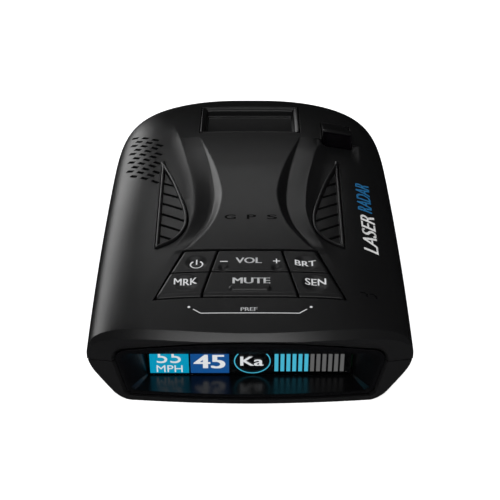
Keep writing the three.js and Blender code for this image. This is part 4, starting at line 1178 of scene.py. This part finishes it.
def dock_loop(inward, level, drop):
    """A rounded rectangle inside the tray's edge. Level 1 follows the case top, 0 the dock's own plane."""
    half_x = DOCK_HALF_X - GAP - inward
    half_y = (DOCK_Y1 - DOCK_Y0) / 2 - GAP - inward
    turn = max(0.15, 0.9 - inward * 0.4)
    loop = []
    for corner, (sx, sy) in enumerate(((1, 1), (-1, 1), (-1, -1), (1, -1))):
        for a in np.linspace(0, math.pi / 2, 7) + corner * math.pi / 2:
            loop.append((sx * (half_x - turn) + turn * math.cos(a),
                         sy * (half_y - turn) + turn * math.sin(a)))
    dense = []
    for (x0, y0), (x1, y1) in zip(loop, loop[1:] + loop[:1]):
        steps = 12 if math.hypot(x1 - x0, y1 - y0) > 3 else 1
        dense += [(x0 + (x1 - x0) * k / steps, y0 + (y1 - y0) * k / steps) for k in range(steps)]
    points = []
    for x, y in dense:
        flat = Vector(DOCK_CENTRE) + dock_turn @ Vector((x, y, 0))
        rise = crown_at(flat.x, flat.y) - flat.z
        points.append(tuple(flat + dock_turn @ Vector((0, 0, level * rise - drop))))
    return points


# Inward of the edge, level and drop, from the foot of the outer wall over the rim to the floor.
DOCK_PROFILE = [(0.0, 0, DOCK_DEPTH + 1.4), (0.0, 1, 0.12), (0.08, 1, 0.03), (0.25, 1, 0.0), (0.42, 1, 0.04),
                (1.2, 0.6, 0.75), (1.36, 0.5, 0.95), (1.4, 0.3, 1.3), (1.4, 0, 2.3), (1.44, 0, 2.5),
                (1.7, 0, 2.55), (1.78, 0, 2.62), (1.8, 0, 2.9), (1.9, 0, DOCK_DEPTH)]
dock = rings_to_solid("dock_pocket", [dock_loop(*step) for step in DOCK_PROFILE], case_black.material)
finish_piece(dock, 38)
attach(dock, "case")
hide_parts("dock_insert")

# ------------------------------------------------------------
# Laser hood: a separate wedge of black ABS pressed into the right-hand
# shoulder. It shades a polished dark window that faces the driver's end.
# ------------------------------------------------------------
HOOD_RISE, HOOD_FALL, HOOD_DRAW_IN, HOOD_FOOT = 2.9, 1.5, 2.5, 2.6
HOOD_LIP = 0.35                          # rounded lip over the window
hood_base = crown_at(HOOD_X1, HOOD_Y0) - HOOD_FOOT
hood_top = crown_at(HOOD_X0, HOOD_Y0) + HOOD_RISE


def bevelled(piece, width, angle):
    """Rounds the edges sharper than that angle and bakes the result."""
    modifier = piece.modifiers.new("round", "BEVEL")
    modifier.width, modifier.segments = width, 3
    modifier.limit_method, modifier.angle_limit = "ANGLE", math.radians(angle)
    modifier.harden_normals = False
    mesh = baked(piece)
    piece.modifiers.clear()
    piece.data = mesh
    return piece


hood_rings = []
for share in np.linspace(0, 1, 9):
    x = HOOD_X0 + (HOOD_X1 - HOOD_X0) * share
    top = hood_top - HOOD_FALL * share ** 1.4
    far = HOOD_Y1 - HOOD_DRAW_IN * share
    start = HOOD_Y0 + HOOD_LIP
    end_z = crown_at(x, far) + 0.1
    ring = [(x, HOOD_Y0, hood_base), (x, HOOD_Y0, top - HOOD_LIP), (x, HOOD_Y0 + 0.1, top - 0.1),
            (x, start, top)]
    ring += [(x, start + (far - HOOD_Y0 - HOOD_LIP) * t, top + (end_z - top) * t ** 1.25)
             for t in np.linspace(0.12, 1, 9)]
    ring += [(x, far + 0.1, end_z - 0.12), (x, HOOD_Y1, crown_at(x, HOOD_Y1) - 0.02),
             (x, HOOD_Y1, hood_base - 1)]
    hood_rings.append(ring)
hood = bevelled(rings_to_solid("laser_hood", hood_rings, case_black.material), 0.35 * MM, 50)
finish_piece(hood, 40)
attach(hood, "case")
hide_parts("rear_laser_hood")

infrared_black = filmed("infrared_black", (300.0,), (0.001, 0.0008, 0.0012), (0.003, 0.002, 0.0035), 220.0,
                        0.000001, Roughness=0.06, IOR=1.52)
coat(infrared_black, "rear_laser_window", "rear_laser_sensor", "front_laser_sensor")

# Front laser window: the same infrared plastic, flush in the far end of the top cover.
FAR_WINDOW_THICK = 1.6
far_rows = []
for x in np.linspace(-FAR_WINDOW_HALF, FAR_WINDOW_HALF, 30):
    outer = []
    for z in np.linspace(FAR_WINDOW_LOW, FAR_WINDOW_HIGH, 12):
        inside_y = halved(40.0, HALF_LENGTH - 0.003, lambda y: crown_at(x, y) > z, 26)[0]
        outer.append((x, inside_y * FAR_TRIM, z))
    far_rows.append(outer + [(px, py - FAR_WINDOW_THICK, pz) for px, py, pz in outer[::-1]])
far_window = rings_to_solid("front_window_lens", far_rows, infrared_black.material)
finish_piece(far_window, 40)
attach(far_window, "case")
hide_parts("front_laser_window")

# ------------------------------------------------------------
# Screws: black-oxide pan heads with a cross recess. Four hold the covers
# together from below, and four hold the main board on its posts.
# ------------------------------------------------------------


def grained(name, noise, dark, light, dull, spread, depth, **even):
    """One noise drives the colour, the dullness and the relief of a surface."""
    finish = Finish(name, **even)
    grain = finish.noise(*noise)
    return finish.feed(Base_Color=finish.blend(grain, dark, light), Roughness=dull + grain * spread,
                       Normal=finish.bump(grain, depth))


black_oxide = grained("black_oxide_steel", (1400.0, 4.0, 0.6), (0.02, 0.02, 0.022), (0.05, 0.05, 0.055),
                      0.3, 0.25, 0.00001, Metallic=0.85)
coat(black_oxide, *(f"{kind}_screw_{number}" for kind in ("case", "board") for number in range(1, 5)))

# ------------------------------------------------------------
# Jacks on the right-hand side: a modular power socket, a small metal data
# socket and a round earphone socket, each soldered to the main board.
# ------------------------------------------------------------
socket_black = moulded_plastic("socket_black", 0.006, 0.28, 0.000005, soften=0.0)
coat(socket_black, "power_jack", "earphone_jack")


def plated(name, shade, roughness, brushed=0.0):
    """Bright plated metal with fine scratches and dull patches."""
    finish = Finish(name, Metallic=1.0)
    patch = finish.noise(220.0, 4.0, 0.6)
    stretched = finish.node("Mapping", {"Vector": finish.place(), "Scale": (1.0, 12.0, 1.0)})
    scratch = finish.noise(1800.0, 3.0, 0.6, stretched)
    finish.feed(Base_Color=finish.blend(patch, tuple(c * 0.8 for c in shade), shade),
                Roughness=roughness + (patch - 0.5) * 0.2 + scratch * brushed,
                Normal=finish.bump(scratch, 0.000006))
    return finish


nickel = plated("nickel_plate", (0.60, 0.58, 0.54), 0.24, 0.1)
coat(nickel, "usb_jack", "wireless_module", "dock_magnet_left", "dock_magnet_right")

# ------------------------------------------------------------
# Label: a blank matte foil rectangle in its recess under the case, with a
# faint printed border and ruled lines.
# ------------------------------------------------------------
label_foil = Finish("label_foil", Metallic=0.6)
split_x = label_foil.node("SeparateXYZ", {0: label_foil.place()}, output=0)
split_y = label_foil.node("SeparateXYZ", {0: label_foil.place()}, output=1)
LABEL_MIDDLE_Y, BORDER_X, BORDER_Y, BORDER_WIDE = -0.021, 0.0158, 0.0118, 0.0002
from_middle = label_foil.math("ABSOLUTE", split_y - LABEL_MIDDLE_Y)
from_axis = label_foil.math("ABSOLUTE", split_x)
border = label_foil.math("MAXIMUM", (from_axis > BORDER_X) * (1 - (from_axis > BORDER_X + BORDER_WIDE)),
                         (from_middle > BORDER_Y) * (1 - (from_middle > BORDER_Y + BORDER_WIDE)))
rules = label_foil.math("FRACT", split_y * 420.0) > 0.93
speck = label_foil.noise(3000.0)
mark = label_foil.math("MINIMUM", 1.0, border + rules * 0.5)
label_foil.feed(Base_Color=label_foil.blend(mark, (0.42, 0.43, 0.44), (0.06, 0.06, 0.065)),
                Roughness=0.38 + speck * 0.15, Normal=label_foil.bump(speck, 0.000004))
coat(label_foil, "rating_label")

# ------------------------------------------------------------
# Speaker: a small oval unit under the dashes in the left shoulder, with a
# pressed paper cone, a tinned steel frame and a magnet.
# ------------------------------------------------------------
tin = plated("tin_plate", (0.52, 0.53, 0.54), 0.36, 0.2)
coat(tin, "speaker_frame", "speaker_magnet", "rf_shield", "processor_shield")
paper = grained("pressed_paper", (1500.0, 6.0, 0.7), (0.010, 0.010, 0.011), (0.028, 0.028, 0.030),
                0.8, 0.15, 0.00004, Specular_IOR_Level=0.3)
coat(paper, "speaker_cone")

# ------------------------------------------------------------
# Boards and radio parts inside the case: green solder-masked boards, a ceramic
# patch antenna, the cast horn and the silicone mat under the keys.
# ------------------------------------------------------------
solder_mask = Finish("solder_mask_green", Coat_Weight=0.4, Coat_Roughness=0.2)
bricks = solder_mask.node("TexBrick", {"Vector": solder_mask.place(), "Scale": 420.0, "Mortar Size": 0.06,
                                       "Color1": (0.9, 0.9, 0.9), "Color2": (0.6, 0.6, 0.6),
                                       "Mortar": (0, 0, 0)})
lanes = solder_mask.node("RGBToBW", {0: bricks})
mottle = solder_mask.noise(500.0, 3.0)
solder_mask.feed(
    Base_Color=solder_mask.blend(lanes * 0.6 + mottle * 0.4, (0.004, 0.045, 0.018), (0.015, 0.11, 0.045)),
    Roughness=0.32 + mottle * 0.2, Normal=solder_mask.bump(lanes, 0.00003))
coat(solder_mask, "display_board", "key_board", "main_board", "rf_board")
coat(grained("fired_ceramic", (1600.0, 4.0), (0.50, 0.42, 0.28), (0.62, 0.53, 0.38), 0.5, 0.2, 0.00002),
     "gps_antenna")
coat(plated("cast_zinc", (0.36, 0.37, 0.38), 0.48, 0.1), "horn_antenna")
coat(grained("grey_silicone", (900.0, 4.0), (0.06, 0.06, 0.064), (0.10, 0.10, 0.105), 0.65, 0.2, 0.00002),
     "key_mat")
